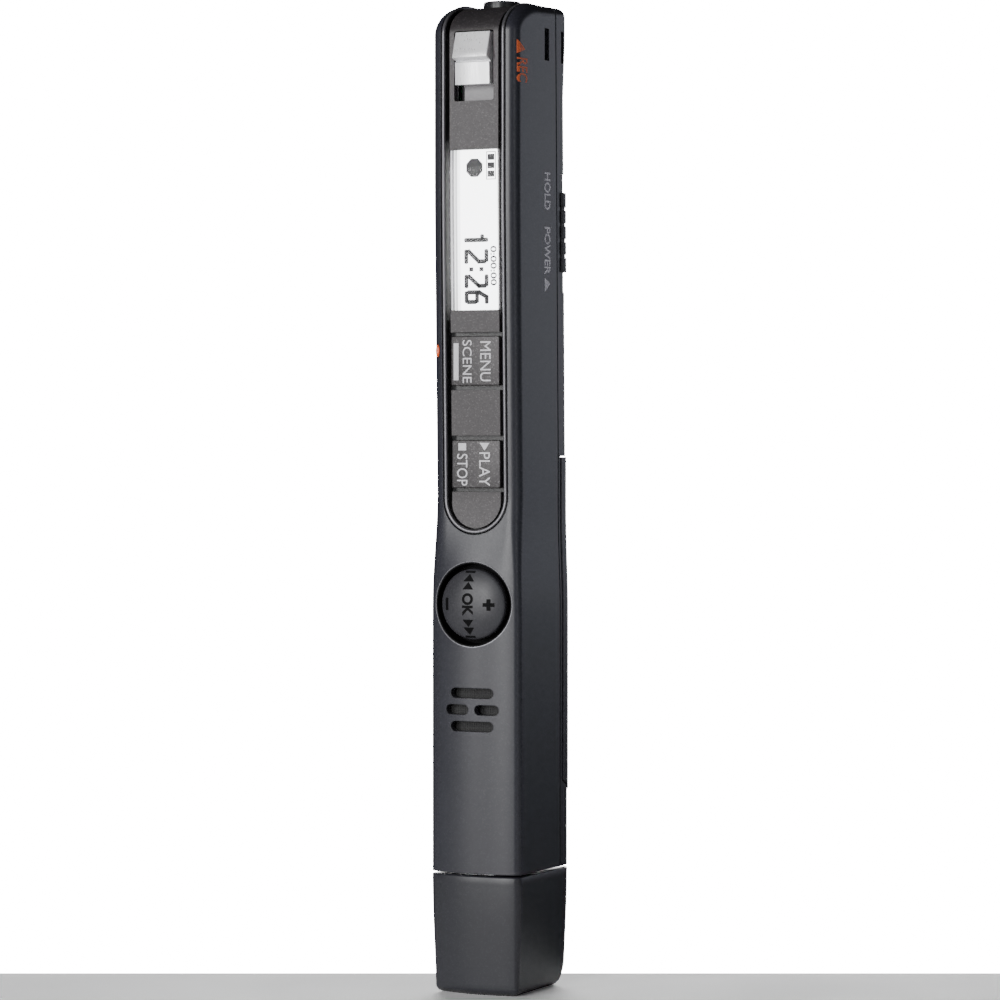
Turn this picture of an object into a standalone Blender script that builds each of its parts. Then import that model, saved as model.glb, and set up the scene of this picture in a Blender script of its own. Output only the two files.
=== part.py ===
"""Pen-shaped voice recorder, standing upright on its end cap.

Frame: origin at the middle of the end cap's flat end, +Z along the pen towards the earphone
jack, -Y out of the face with the display and keys, +X out of the side with the HOLD switch.
Dimensions are in millimetres; a depth is measured backwards from the grip face.
"""
import math

import bmesh
import bpy

MM = 0.001

# Overall sizes
FRONT_Y = -8.2             # y of the grip face, so that the whole box is centred on the origin
TOP = 131.0                # top end of the body
BODY_BOTTOM = 16.1         # lower end of the body, under the cap's joint line
CAP_TOP = 15.8
GRIP_HALF = 6.6            # half width at the grip
UPPER_HALF = 6.3           # half width beside the display
SHELL_DEPTH = 16.85        # depth of the rear shell's back at the grip
UPPER_SHELL_DEPTH = 16.0   # the same at the top end
REAR_SHELL_THICKNESS = 3.8
SEAM_GAP = 0.16
SIDE_WALL = 0.75
FRONT_WALL = 1.1
REAR_RADIUS = 2.0
TOP_REAR_RADIUS = 1.1      # the back's long edges tighten towards the top end
TOP_CURVE_DEPTH = 7.74     # the top front edge is a quarter ellipse
TOP_CURVE_HEIGHT = 4.4

# Front face
STRIP_HALF = 3.65          # window plate
RIM_INNER = 3.75
RIM_OUTER = 4.65
FRAME_OPENING = 4.8
RIM_BOTTOM = 60.9
PLATE_RECESS = 0.3
PLATE_THICKNESS = 0.9
DISPLAY = (90.3, 111.4)
DISPLAY_HALF = 3.4
PLATES = {"end_plate": (60.0, 66.4), "blank_plate": (73.8, 79.8), "window_plate": (87.4, None)}
MENU = (80.4, 86.9)
PLAY = (66.9, 73.2)
KEY_HALF = 3.58
SLIDER_WINDOW = (117.8, 127.0)
SLIDER_HALF = 2.9
DIAL_Z = 51.6
DIAL_HOLE_RADIUS = 5.55
DIAL_RADIUS = 4.7
DIAL_CROWN = -0.6          # depth of the dial's middle, proud of the grip face
SPEAKER_Z = 37.7
SLOT_HEIGHT = 1.35

# Inside
BOARD = (4.2, 5.0)         # front and back depth of the circuit board
SCREW_PLACES = ((4.2, 28.6), (-4.2, 45.0))
CELL_RADIUS = 5.25
CELL_LENGTH = 44.5
CELL_BOTTOM = 26.6
CELL_DEPTH = 10.6
COVER = (25.8, 70.9)
COVER_SPLIT = 13.95        # depth of the cover's long edges
COVER_PROUD = 0.15
COVER_RAMP = 0.6           # the lower end's slope, height for each unit of depth
PLUG_HALF = (2.25, 6.0)
PLUG_DEPTH = 8.2
PLUG_TIP = 4.3
HOLD_SLOT = (93.0, 108.8)
HOLD_KNOB = (95.7, 106.3)
JACK_DEPTH = 9.0

for old in list(bpy.data.objects):
    bpy.data.objects.remove(old, do_unlink=True)


# ---------------------------------------------------------------- materials and helpers

def material(name, colour, roughness, metallic=0.0, alpha=1.0):
    """A plain Principled material."""
    made = bpy.data.materials.new(name)
    made.use_nodes = True
    shader = made.node_tree.nodes["Principled BSDF"]
    shader.inputs["Base Color"].default_value = (*colour, 1.0)
    shader.inputs["Roughness"].default_value = roughness
    shader.inputs["Metallic"].default_value = metallic
    shader.inputs["Alpha"].default_value = alpha
    return made


def smoothstep(value):
    value = min(max(value, 0.0), 1.0)
    return value * value * (3.0 - 2.0 * value)


def lerp(a, b, t):
    return a + (b - a) * t


def make(name, verts, faces, look, smooth=False):
    """An object from vertices (x, depth, z) in millimetres, with its faces turned outwards."""
    mesh = bpy.data.meshes.new(name)
    mesh.from_pydata([(x * MM, (FRONT_Y + d) * MM, z * MM) for x, d, z in verts], [], faces)
    work = bmesh.new()
    work.from_mesh(mesh)
    bmesh.ops.recalc_face_normals(work, faces=work.faces)
    work.to_mesh(mesh)
    work.free()
    if smooth:
        mesh.shade_smooth()
        mesh.set_sharp_from_angle(angle=math.radians(35))
    thing = bpy.data.objects.new(name, mesh)
    bpy.context.scene.collection.objects.link(thing)
    if look:
        mesh.materials.append(look)
    return thing


def loft(name, rings, look, smooth=False):
    """A closed solid through rings of equal point counts, with flat ends."""
    count = len(rings[0])
    verts = [point for ring in rings for point in ring]
    faces = [tuple(range(count)), tuple(range(len(verts) - count, len(verts)))]
    for level in range(len(rings) - 1):
        for side in range(count):
            a, b = level * count + side, level * count + (side + 1) % count
            faces.append((a, b, b + count, a + count))
    return make(name, verts, faces, look, smooth)


def box(name, x, depth, z, look):
    """A box between two x, two depths and two heights."""
    rings = [[(x[0], depth[0], level), (x[1], depth[0], level),
              (x[1], depth[1], level), (x[0], depth[1], level)] for level in z]
    return loft(name, rings, look)


def circle(radius, sides, start=0.0):
    return [(radius * math.cos(start + 2 * math.pi * k / sides),
             radius * math.sin(start + 2 * math.pi * k / sides)) for k in range(sides)]


def turned(name, profile, centre, axis, look, sides=24):
    """A turned solid: profile is (radius, place along the axis), from one end to the other."""
    rings = []
    for radius, along in profile:
        ring = []
        for a, b in circle(radius, sides, math.pi / sides):
            if axis == "x":
                ring.append((along, centre[0] + a, centre[1] + b))
            elif axis == "depth":
                ring.append((centre[0] + a, along, centre[1] + b))
            else:
                ring.append((centre[0] + a, centre[1] + b, along))
        rings.append(ring)
    return loft(name, rings, look, smooth=True)


def tube(name, profile, centre, axis, look, sides=24):
    """A turned ring or tube: profile is a closed outline of (radius, place along the axis)."""
    verts, faces, count = [], [], len(profile)
    for a, b in circle(1.0, sides, math.pi / sides):
        for radius, along in profile:
            if axis == "x":
                verts.append((along, centre[0] + a * radius, centre[1] + b * radius))
            elif axis == "depth":
                verts.append((centre[0] + a * radius, along, centre[1] + b * radius))
            else:
                verts.append((centre[0] + a * radius, centre[1] + b * radius, along))
    for side in range(sides):
        for k in range(count):
            a, b = side * count, (side + 1) % sides * count
            j = (k + 1) % count
            faces.append((a + k, a + j, b + j, b + k))
    return make(name, verts, faces, look, smooth=True)


def through(name, outline, depth, look=None):
    """A prism with an outline in x and z, between two depths."""
    return loft(name, [[(x, level, z) for x, z in outline] for level in depth], look)


def slot_outline(x0, x1, z0, z1, steps=4):
    """An outline with round ends at its left and right."""
    radius, points = (z1 - z0) / 2, []
    for centre, start in ((x1 - radius, -90), (x0 + radius, 90)):
        for k in range(steps + 1):
            angle = math.radians(start + 180 * k / steps)
            points.append((centre + radius * math.cos(angle),
                           (z0 + z1) / 2 + radius * math.sin(angle)))
    return points


def u_outline(half, bottom, top=140.0, steps=12):
    """A strip with a round lower end, open-ended upwards."""
    points = [(half, top), (-half, top)]
    for k in range(steps + 1):
        angle = math.radians(180 + 180 * k / steps)
        points.append((half * math.cos(angle), bottom + half + half * math.sin(angle)))
    return points


def combine(target, tool, operation="DIFFERENCE"):
    """A Boolean modifier; the tool becomes a hidden guide.

    MANIFOLD, because EXACT leaves open edges where thin slivers of the flat top end are cut.
    """
    tool.hide_render = True
    tool.display_type = "WIRE"
    modifier = target.modifiers.new(tool.name, "BOOLEAN")
    modifier.operation = operation
    modifier.object = tool
    modifier.solver = "MANIFOLD"
    return target


def cut_box(target, name, x, depth, z):
    return combine(target, box(name, x, depth, z, None))


# ---------------------------------------------------------------- the body's outer form

def half_width(z):
    return lerp(GRIP_HALF, UPPER_HALF, smoothstep((z - 50.0) / 14.0))


def front_depth(z):
    """Depth of the front line: the waist below the keys, then a slow rise to the top."""
    if z < 66.0:
        return 1.2 * smoothstep((z - 53.0) / 13.0)
    return max(1.2 - 0.74 * (z - 66.0) / 39.0, 0.46)


def back_depth(z):
    if z < 70.0:
        return SHELL_DEPTH
    return lerp(SHELL_DEPTH, UPPER_SHELL_DEPTH, (z - 70.0) / (TOP - 70.0))


def seam_depth(z):
    return back_depth(z) - REAR_SHELL_THICKNESS


def front_profile(z, inset, arc_steps):
    """Half of the front's cross section as (x, sag behind the front line)."""
    upper = smoothstep((z - 54.0) / 10.0)
    half = half_width(z) - inset
    radius = max(lerp(1.1, 0.7, upper) - inset, 0.15)

    def sag(x):
        shoulder = max(0.0, x - 4.6) * 0.36
        return lerp(0.75 * (x / 5.6) ** 2, shoulder, upper)

    slope = math.atan(lerp(1.5 * half / 5.6 ** 2, 0.36, upper))
    last = half - radius + radius * math.sin(slope)
    centre = sag(last) + radius * math.cos(slope)
    points = [(x, sag(x)) for x in (0.0, 1.8, 3.4, min(4.6, last - 0.3))]
    for k in range(arc_steps + 1):
        angle = lerp(slope, math.pi / 2, k / arc_steps)
        points.append((half - radius + radius * math.sin(angle), centre - radius * math.cos(angle)))
    return points


def rear_profile(z, inset, arc_steps):
    """Half of the back's cross section, with as many points as the front's."""
    half = half_width(z) - inset
    radius = max(lerp(REAR_RADIUS, TOP_REAR_RADIUS, smoothstep((z - 120.0) / 8.0)) - inset, 0.3)
    points = [(x, 0.0) for x in (0.0, 1.5, 3.0, half - radius - 0.3)]
    for k in range(arc_steps + 1):
        angle = math.pi / 2 * k / arc_steps
        points.append((half - radius + radius * math.sin(angle), radius - radius * math.cos(angle)))
    return points


def stations(inset, bottom, levels, curve_steps):
    """Matching front and back stations: (depth, z, inward depth step, inward z step)."""
    curve_base = TOP - TOP_CURVE_HEIGHT
    heights = [bottom] + [z for z in levels if z > bottom + 0.5] + [curve_base]
    pairs = [((front_depth(z) + inset[0], z, 1.0, 0.0),
              (back_depth(z) - inset[1], z, -1.0, 0.0)) for z in heights]
    centre = front_depth(curve_base) + TOP_CURVE_DEPTH
    corner = min(max(1.3 - inset[1], 0.4), 2.5)
    corner_z = TOP - inset[0] - corner
    for k in range(1, curve_steps + 1):
        angle = math.pi / 2 * k / curve_steps
        slope = (math.cos(angle) / TOP_CURVE_DEPTH, -math.sin(angle) / TOP_CURVE_HEIGHT)
        size = math.hypot(*slope)
        slope = (slope[0] / size, slope[1] / size)
        front = (centre - TOP_CURVE_DEPTH * math.cos(angle) + inset[0] * slope[0],
                 curve_base + TOP_CURVE_HEIGHT * math.sin(angle) + inset[0] * slope[1],
                 slope[0], slope[1])
        turn = math.pi / 2 * max(0.0, (k - curve_steps / 2) / (curve_steps / 2))
        rise = lerp(curve_base, corner_z, min(1.0, k / (curve_steps / 2)))
        back = (back_depth(TOP) - inset[1] - corner + corner * math.cos(turn),
                rise + corner * math.sin(turn), -math.cos(turn), -math.sin(turn))
        pairs.append((front, back))
    return pairs


LEVELS = (30.0, 44.0, 50.0, 53.5, 56.0, 58.0, 60.0, 62.0, 64.0, 66.5, 70.0, 85.0, 105.0)


def envelope(name, inset=(0.0, 0.0, 0.0), bottom=BODY_BOTTOM, look=None,
             levels=LEVELS, curve_steps=8, arc_steps=4):
    """The pen's outer form, drawn in by inset: (front, back, sides)."""
    rings = []
    for front, back in stations(inset, bottom, levels, curve_steps):
        ahead = [(x, front[0] + sag * front[2], front[1] + sag * front[3])
                 for x, sag in front_profile(front[1], inset[2], arc_steps)]
        behind = [(x, back[0] + sag * back[2], back[1] + sag * back[3])
                  for x, sag in rear_profile(front[1], inset[2], arc_steps)]
        right = ahead + behind[::-1]
        left = [(-x, d, z) for x, d, z in right[::-1] if x > 0.0]
        rings.append(right + left)
    count, half = len(rings[0]), len(rings[0]) // 2 + 1
    verts = [point for ring in rings for point in ring]
    faces = [tuple(range(count))]
    for level in range(len(rings) - 1):
        for side in range(count):
            a, b = level * count + side, level * count + (side + 1) % count
            faces.append((a, b, b + count, a + count))
    last = len(verts) - count
    for side in range(half // 2 - 1):
        a, b = side, half - 1 - side
        faces.append((last + a, last + a + 1, last + b - 1, last + b))
        c, e = (count - side) % count, (half - 1 + side) % count
        faces.append((last + c, last + count - side - 1, last + e + 1, last + e))
    return make(name, verts, faces, look, smooth=True)


def wedge(name, front_offset, back_offset, bottom=0.0, top=140.0):
    """A wide slab between two depths given from the seam line; None leaves that side open."""
    levels = [bottom, 70.0, top] if bottom < 70.0 < top else [bottom, top]
    rings = []
    for z in levels:
        near = -5.0 if front_offset is None else seam_depth(z) + front_offset
        far = 25.0 if back_offset is None else seam_depth(z) + back_offset
        rings.append([(-12.0, near, z), (12.0, near, z), (12.0, far, z), (-12.0, far, z)])
    return loft(name, rings, None)


def front_strip(name, half, depth0, depth1, low, high_depth, look=None):
    """A band that follows the front line upwards and over the top end."""
    path = []
    curve_base = TOP - TOP_CURVE_HEIGHT
    for z in [low] + [level for level in (66.5, 70.0, 85.0, 105.0) if level > low] + [curve_base]:
        path.append((front_depth(z), z, 1.0, 0.0))
    centre = front_depth(curve_base) + TOP_CURVE_DEPTH
    for k in range(1, 9):
        angle = math.pi / 2 * k / 8
        step = (math.cos(angle) / TOP_CURVE_DEPTH, -math.sin(angle) / TOP_CURVE_HEIGHT)
        size = math.hypot(*step)
        path.append((centre - TOP_CURVE_DEPTH * math.cos(angle),
                     curve_base + TOP_CURVE_HEIGHT * math.sin(angle),
                     step[0] / size, step[1] / size))
    path.append((high_depth, TOP, 0.0, -1.0))
    rings = []
    for depth, z, step_d, step_z in path:
        ring = []
        for offset, side in ((depth0, -1), (depth0, 1), (depth1, 1), (depth1, -1)):
            ring.append((side * half, depth + offset * step_d, z + offset * step_z))
        rings.append(ring)
    return loft(name, rings, look)


# ---------------------------------------------------------------- housing, frame and plate

def main_housing():
    look = material("housing_navy", (0.055, 0.057, 0.075), 0.45)
    body = envelope("main_housing", look=look)
    combine(body, wedge("housing_back_cut", 0.0, None))
    combine(body, envelope("housing_cavity", (FRONT_WALL, -3.0, SIDE_WALL), BODY_BOTTOM + 1.5,
                           levels=(50.0, 57.0, 66.5, 105.0), curve_steps=4, arc_steps=2))
    combine(body, through("frame_opening_cut", u_outline(FRAME_OPENING, RIM_BOTTOM - 0.15),
                          (-4.0, 20.0)))
    combine(body, turned("dial_hole_cut", [(DIAL_HOLE_RADIUS, -2.0), (DIAL_HOLE_RADIUS, 4.0)],
                         (0.0, DIAL_Z), "depth", None, 40))
    speaker_slots = ((-3.15, 3.15, 2.2), (-3.9, -0.45, 0.0), (0.45, 3.9, 0.0), (-3.15, 3.15, -2.2))
    for number, (x0, x1, rise) in enumerate(speaker_slots):
        middle = SPEAKER_Z + rise
        outline = slot_outline(x0, x1, middle - SLOT_HEIGHT / 2, middle + SLOT_HEIGHT / 2)
        combine(body, through(f"speaker_slot_cut_{number}", outline, (-2.0, 3.0)))
    cut_box(body, "mic_slot_cut", (-12.0, 12.0), (9.2, 10.1), (124.4, 128.8))
    cut_box(body, "led_hole_cut", (-12.0, -4.9), (1.05, 2.0), (84.0, 86.0))
    cut_box(body, "plug_hole_cut", (-2.55, 2.55), (1.9, 20.0), (10.0, 20.0))
    for number, (x, z) in enumerate(SCREW_PLACES):
        boss = turned(f"board_boss_{number}", [(1.1, 0.9), (1.1, BOARD[0] - 0.2)], (x, z), "depth",
                      None, 16)
        combine(body, boss, "UNION")
        combine(body, turned(f"boss_bore_{number}", [(0.85, 2.0), (0.85, 6.0)], (x, z), "depth",
                             None, 12))


def front_frame():
    look = material("rim_grey", (0.27, 0.265, 0.28), 0.35, 0.6)
    frame = front_strip("front_frame", RIM_OUTER, -0.08, 2.3, 60.0, seam_depth(TOP) - 0.2, look)
    combine(frame, through("frame_outline", u_outline(RIM_OUTER, RIM_BOTTOM), (-4.0, 20.0)),
            "INTERSECT")
    pocket = front_strip("frame_pocket", 6.0, -3.0, 1.5, 60.5, 20.0)
    combine(pocket, through("pocket_outline", u_outline(RIM_INNER, RIM_BOTTOM + 0.5), (-4.0, 30.0)),
            "INTERSECT")
    combine(frame, pocket)
    cut_box(frame, "display_pass_cut", (-4.05, 4.05), (1.4, 6.0), (88.9, 113.1))
    for name, (low, high) in (("menu", MENU), ("play", PLAY)):
        cut_box(frame, f"{name}_pass_cut", (-2.2, 2.2), (-2.0, 6.0), (low + 1.2, high - 1.2))
    cut_box(frame, "slider_pass_cut", (-3.4, 3.4), (-2.0, 5.0), (116.6, 125.6))
    combine(frame, turned("jack_pass_cut", [(2.85, 110.0), (2.85, 140.0)], (0.0, JACK_DEPTH), "z",
                          None, 24))


def plates():
    """The recessed plates between the keys; the longest one goes over the top end."""
    look = material("plate_grey", (0.155, 0.145, 0.155), 0.45, 0.4)
    for name, (low, high) in PLATES.items():
        plate = front_strip(name, STRIP_HALF, PLATE_RECESS, PLATE_RECESS + PLATE_THICKNESS,
                            60.0, seam_depth(TOP) - 0.2, look)
        combine(plate, through(f"{name}_outline", u_outline(STRIP_HALF, RIM_BOTTOM + 0.7),
                               (-4.0, 20.0)), "INTERSECT")
        if low > 60.0:
            cut_box(plate, f"{name}_low_cut", (-6.0, 6.0), (-3.0, 9.0), (50.0, low))
        if high:
            cut_box(plate, f"{name}_high_cut", (-6.0, 6.0), (-3.0, 20.0), (high, 140.0))
            continue
        cut_box(plate, "display_window_cut", (-DISPLAY_HALF, DISPLAY_HALF), (-2.0, 6.0), DISPLAY)
        cut_box(plate, "slider_window_cut", (-SLIDER_HALF, SLIDER_HALF), (-2.0, 4.0),
                SLIDER_WINDOW)
        combine(plate, turned("bezel_pass_cut", [(2.75, 110.0), (2.75, 140.0)],
                              (0.0, JACK_DEPTH), "z", None, 24))


def display():
    glass = material("display_glass", (0.8, 0.82, 0.85), 0.05, alpha=0.35)
    surface = front_depth(100.0) + PLATE_RECESS
    box("lcd_window", (-DISPLAY_HALF + 0.1, DISPLAY_HALF - 0.1), (surface + 0.1, surface + 0.7),
        (DISPLAY[0] + 0.1, DISPLAY[1] - 0.1), glass)
    box("lcd_module", (-3.9, 3.9), (2.15, 3.0), (89.1, 112.9),
        material("lcd_grey", (0.75, 0.77, 0.75), 0.3))
    box("lcd_holder", (-3.9, 3.9), (3.15, 4.0), (89.1, 112.9),
        material("holder_white", (0.8, 0.8, 0.8), 0.5))


# ---------------------------------------------------------------- keys and switches

def keys():
    key_look = material("key_grey", (0.16, 0.15, 0.16), 0.4, 0.4)
    steel = material("switch_steel", (0.6, 0.6, 0.6), 0.35, 0.9)
    for name, (low, high) in (("menu", MENU), ("play", PLAY)):
        middle = (low + high) / 2
        surface = front_depth(middle) + PLATE_RECESS
        button = box(f"{name}_button", (-KEY_HALF, KEY_HALF), (surface - 0.05, surface + 0.75),
                     (low, high), key_look)
        stem = box(f"{name}_stem", (-1.4, 1.4), (surface + 0.5, 3.1), (middle - 1.4, middle + 1.4),
                   None)
        combine(button, stem, "UNION")
        box(f"{name}_switch", (-1.8, 1.8), (3.45, BOARD[0] - 0.1), (middle - 1.8, middle + 1.8),
            steel)


def record_slider():
    silver = material("slider_silver", (0.85, 0.86, 0.88), 0.25, 0.9)
    floor = box("slider_floor", (-3.2, 3.2), (1.95, 2.35), (116.9, 125.3),
                material("floor_grey", (0.22, 0.215, 0.23), 0.5))
    cut_box(floor, "post_slot_cut", (-2.5, -0.9), (1.0, 4.0), (117.8, 124.6))
    outline = ((1.6, 119.9), (0.27, 119.9), (0.15, 122.95), (-0.25, 123.2), (-0.6, 123.45),
               (0.42, 126.8), (1.6, 126.8))
    rings = [[(x, depth, z) for depth, z in outline] for x in (-2.55, 2.55)]
    knob = loft("record_slider", rings, silver)
    combine(knob, box("slider_post", (-2.2, -1.2), (1.0, 2.9), (120.6, 124.2), None), "UNION")
    box("record_switch", (-2.9, 2.9), (3.1, BOARD[0] - 0.1), (117.4, 125.0),
        material("switch_black", (0.03, 0.03, 0.03), 0.5))


def navigation_key():
    look = material("dial_black", (0.06, 0.06, 0.07), 0.35)
    steel = material("rocker_steel", (0.6, 0.6, 0.6), 0.35, 0.9)
    edge = [(4.3, 1.75), (DIAL_RADIUS, 1.6), (DIAL_RADIUS, 0.75)]
    dome = [(DIAL_RADIUS * part, lerp(DIAL_CROWN, 0.6, part ** 2.4)) for part in (0.95, 0.7, 0.38)]
    turned("nav_key", edge + dome + [(0.6, DIAL_CROWN)], (0.0, DIAL_Z), "depth", look, 36)
    turned("nav_rocker", [(1.6, 1.85), (1.6, 2.15)], (0.0, DIAL_Z), "depth", steel, 20)
    turned("nav_plunger", [(1.0, 2.25), (1.0, 2.75)], (0.0, DIAL_Z), "depth",
           material("plunger_black", (0.03, 0.03, 0.03), 0.5), 16)
    box("nav_switch", (-3.5, 3.5), (3.1, BOARD[0] - 0.1), (DIAL_Z - 3.5, DIAL_Z + 3.5),
        material("nav_switch_black", (0.04, 0.04, 0.04), 0.5))


# ---------------------------------------------------------------- sound

def speaker_and_microphones():
    box("speaker_mesh", (-4.0, 4.0), (1.7, 1.85), (SPEAKER_Z - 3.4, SPEAKER_Z + 3.4),
        material("mesh_black", (0.02, 0.02, 0.02), 0.8))
    tube("speaker_gasket", [(4.9, 1.95), (4.9, 2.2), (4.2, 2.2), (4.2, 1.95)], (0.0, SPEAKER_Z),
         "depth", material("gasket_black", (0.02, 0.02, 0.02), 0.9), 28)
    turned("speaker_unit", [(4.9, 2.3), (4.9, 3.2), (4.2, 3.6), (4.2, 4.05)], (0.0, SPEAKER_Z),
           "depth", material("speaker_grey", (0.2, 0.2, 0.2), 0.5, 0.5), 28)
    look = material("microphone_metal", (0.6, 0.6, 0.58), 0.35, 0.9)
    for name, side in (("mic_left", -1), ("mic_right", 1)):
        turned(name, [(1.9, side * 3.6), (1.9, side * 5.2)], (9.65, 126.5), "x", look, 20)


def earphone_jack():
    bezel = material("bezel_black", (0.02, 0.02, 0.022), 0.35)
    tube("jack_bezel", [(2.5, 129.3), (2.5, TOP + 0.35), (2.35, TOP + 0.5), (1.95, TOP + 0.5),
                        (1.8, TOP + 0.35), (1.8, 129.3)], (0.0, JACK_DEPTH), "z", bezel, 28)
    body = box("earphone_jack", (-3.0, 3.0), (6.1, 12.0), (116.5, 128.1),
               material("jack_black", (0.03, 0.03, 0.03), 0.5))
    combine(body, turned("jack_bore_cut", [(1.8, 117.5), (1.8, 140.0)], (0.0, JACK_DEPTH), "z",
                         None, 20))


def indicator():
    box("led_lens", (-6.22, -5.0), (1.2, 1.85), (84.15, 85.85),
        material("led_orange", (0.9, 0.25, 0.05), 0.25))
    box("led_chip", (-5.0, -4.2), (BOARD[0] - 0.6, BOARD[0] - 0.1), (84.5, 85.5),
        material("led_chip_white", (0.8, 0.8, 0.75), 0.4))


# ---------------------------------------------------------------- board, cell and plug

def board_and_parts():
    board = box("main_board", (-5.2, 5.2), BOARD, (18.2, 126.6),
                material("board_green", (0.03, 0.12, 0.05), 0.5))
    cut_box(board, "plug_notch_cut", (-2.6, 2.6), (0.0, 9.0), (10.0, 24.6))
    for number, (x, z) in enumerate(SCREW_PLACES):
        combine(board, turned(f"screw_hole_cut_{number}", [(0.9, 0.0), (0.9, 9.0)], (x, z),
                              "depth", None, 12))
        turned(f"board_screw_{number + 1}", [(0.65, 2.4), (0.65, 5.15), (1.3, 5.15), (1.3, 5.75)],
               (x, z), "depth", material(f"screw_steel_{number}", (0.6, 0.6, 0.6), 0.3, 0.9), 16)
    back = BOARD[1] + 0.1
    chip = material("chip_black", (0.02, 0.02, 0.02), 0.45)
    box("processor_chip", (-3.2, 3.2), (back, back + 1.0), (78.0, 84.4), chip)
    box("memory_chip", (-4.2, 4.2), (back, back + 1.0), (87.0, 99.0), chip)
    box("shield_can", (-4.4, 4.4), (back, back + 1.6), (101.5, 112.0),
        material("can_tin", (0.7, 0.7, 0.7), 0.3, 0.9))
    turned("clock_crystal", [(1.0, -3.0), (1.0, 3.0)], (back + 1.1, 75.6), "x",
           material("crystal_tin", (0.7, 0.7, 0.7), 0.3, 0.9), 16)
    turned("capacitor", [(2.0, 77.5), (2.0, 84.0)], (0.0, 9.6), "z",
           material("capacitor_blue", (0.05, 0.07, 0.2), 0.4), 20)


def battery():
    cell = material("cell_jacket", (0.1, 0.25, 0.12), 0.35, 0.3)
    top = CELL_BOTTOM + CELL_LENGTH
    turned("battery_cell", [(CELL_RADIUS - 0.5, CELL_BOTTOM), (CELL_RADIUS, CELL_BOTTOM + 0.5),
                            (CELL_RADIUS, top - 1.5), (CELL_RADIUS - 0.5, top - 1.0),
                            (1.9, top - 1.0), (1.9, top)], (0.0, CELL_DEPTH), "z", cell, 32)
    battery_spring()
    box("battery_contact", (-3.5, 3.5), (CELL_DEPTH - 3.5, CELL_DEPTH + 3.5),
        (top + 0.2, top + 0.5), material("contact_nickel", (0.7, 0.68, 0.62), 0.25, 1.0))


def battery_spring():
    """A coil of wire that narrows from its seat towards the cell."""
    turns, steps, wire_sides, wire = 3.0, 12, 6, 0.25
    low, high = 24.0, CELL_BOTTOM - 0.4
    rings = []
    total = int(turns * steps)
    for k in range(total + 1):
        angle = 2 * math.pi * k / steps
        radius = lerp(3.2, 1.8, k / total)
        z = lerp(low, high, k / total)
        ring = []
        for a, b in circle(wire, wire_sides):
            ring.append(((radius + a) * math.cos(angle),
                         CELL_DEPTH + (radius + a) * math.sin(angle), z + b))
        rings.append(ring)
    loft("battery_spring", rings, material("spring_nickel", (0.7, 0.68, 0.62), 0.25, 1.0), True)


def usb_plug():
    steel = material("plug_steel", (0.7, 0.71, 0.72), 0.25, 1.0)
    depth = (PLUG_DEPTH - PLUG_HALF[1], PLUG_DEPTH + PLUG_HALF[1])
    shell = box("usb_shell", (-PLUG_HALF[0], PLUG_HALF[0]), depth, (PLUG_TIP, 22.0), steel)
    cut_box(shell, "plug_hollow_cut", (-PLUG_HALF[0] + 0.32, PLUG_HALF[0] - 0.32),
            (depth[0] + 0.32, depth[1] - 0.32), (0.0, 30.0))
    box("usb_tongue", (-1.8, 0.1), (depth[0] + 0.5, depth[1] - 0.5), (PLUG_TIP + 0.3, 21.8),
        material("tongue_black", (0.02, 0.02, 0.02), 0.5))
    gold = material("contact_gold", (0.8, 0.6, 0.25), 0.25, 1.0)
    for number, offset in enumerate((-3.5, -1.0, 1.0, 3.5)):
        middle = PLUG_DEPTH + offset
        box(f"usb_contact_{number + 1}", (0.18, 0.36), (middle - 0.5, middle + 0.5),
            (PLUG_TIP + 1.2, 14.0), gold)


# ---------------------------------------------------------------- rear shell, cover and switch

def rear_shell():
    look = material("rear_navy", (0.055, 0.057, 0.075), 0.45)
    shell = envelope("rear_shell", look=look)
    combine(shell, wedge("shell_front_cut", None, SEAM_GAP))
    combine(shell, envelope("shell_cavity", (1.2, 0.9, SIDE_WALL), BODY_BOTTOM + 1.5,
                            levels=(50.0, 66.5), curve_steps=4, arc_steps=4))
    for name, low in (("lower", 22.3), ("upper", 72.2)):
        bulkhead = box(f"{name}_bulkhead", (-5.2, 5.2), (5.4, SHELL_DEPTH - 0.4),
                       (low, low + 1.0), None)
        combine(shell, bulkhead, "UNION")
    combine(shell, cover_form("cover_opening_cut", -0.16, 0.14, -3.0))
    cut_box(shell, "mic_slot_rear_cut", (5.0, 12.0), (14.0, 14.7), (124.4, 128.8))
    combine(shell, hold_corner("hold_slot_cut", 3.45, 13.7, HOLD_SLOT, -3.0))
    cut_box(shell, "shell_plug_hole_cut", (-2.55, 2.55), (1.9, 14.5), (10.0, 20.0))


def cover_form(name, split_offset, end_offset, outset, look=None):
    """The outer form of the battery cover, grown for its opening by the offsets."""
    form = envelope(name, (0.0, outset, outset), 20.0, look, levels=(30.0, 50.0, 57.0, 66.5),
                    curve_steps=4, arc_steps=4)
    near, far = COVER_SPLIT + split_offset, SHELL_DEPTH + 4.0
    skin = SHELL_DEPTH + COVER_PROUD
    low, high = COVER[0] - end_offset, COVER[1] + end_offset
    block = [(-12.0, near, low + COVER_RAMP * (skin - near)),
             (-12.0, far, low - COVER_RAMP * (far - skin)), (-12.0, far, high), (-12.0, near, high)]
    keep = loft(f"{name}_block", [block, [(-x, d, z) for x, d, z in block]], None)
    return combine(form, keep, "INTERSECT")


def battery_cover():
    look = material("cover_navy", (0.06, 0.062, 0.08), 0.45)
    cover = cover_form("battery_cover", 0.0, 0.0, -COVER_PROUD, look)
    combine(cover, envelope("cover_hollow", (0.0, 0.7, 0.7), 18.0, levels=(50.0, 57.0, 66.5),
                            curve_steps=4, arc_steps=4))


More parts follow.
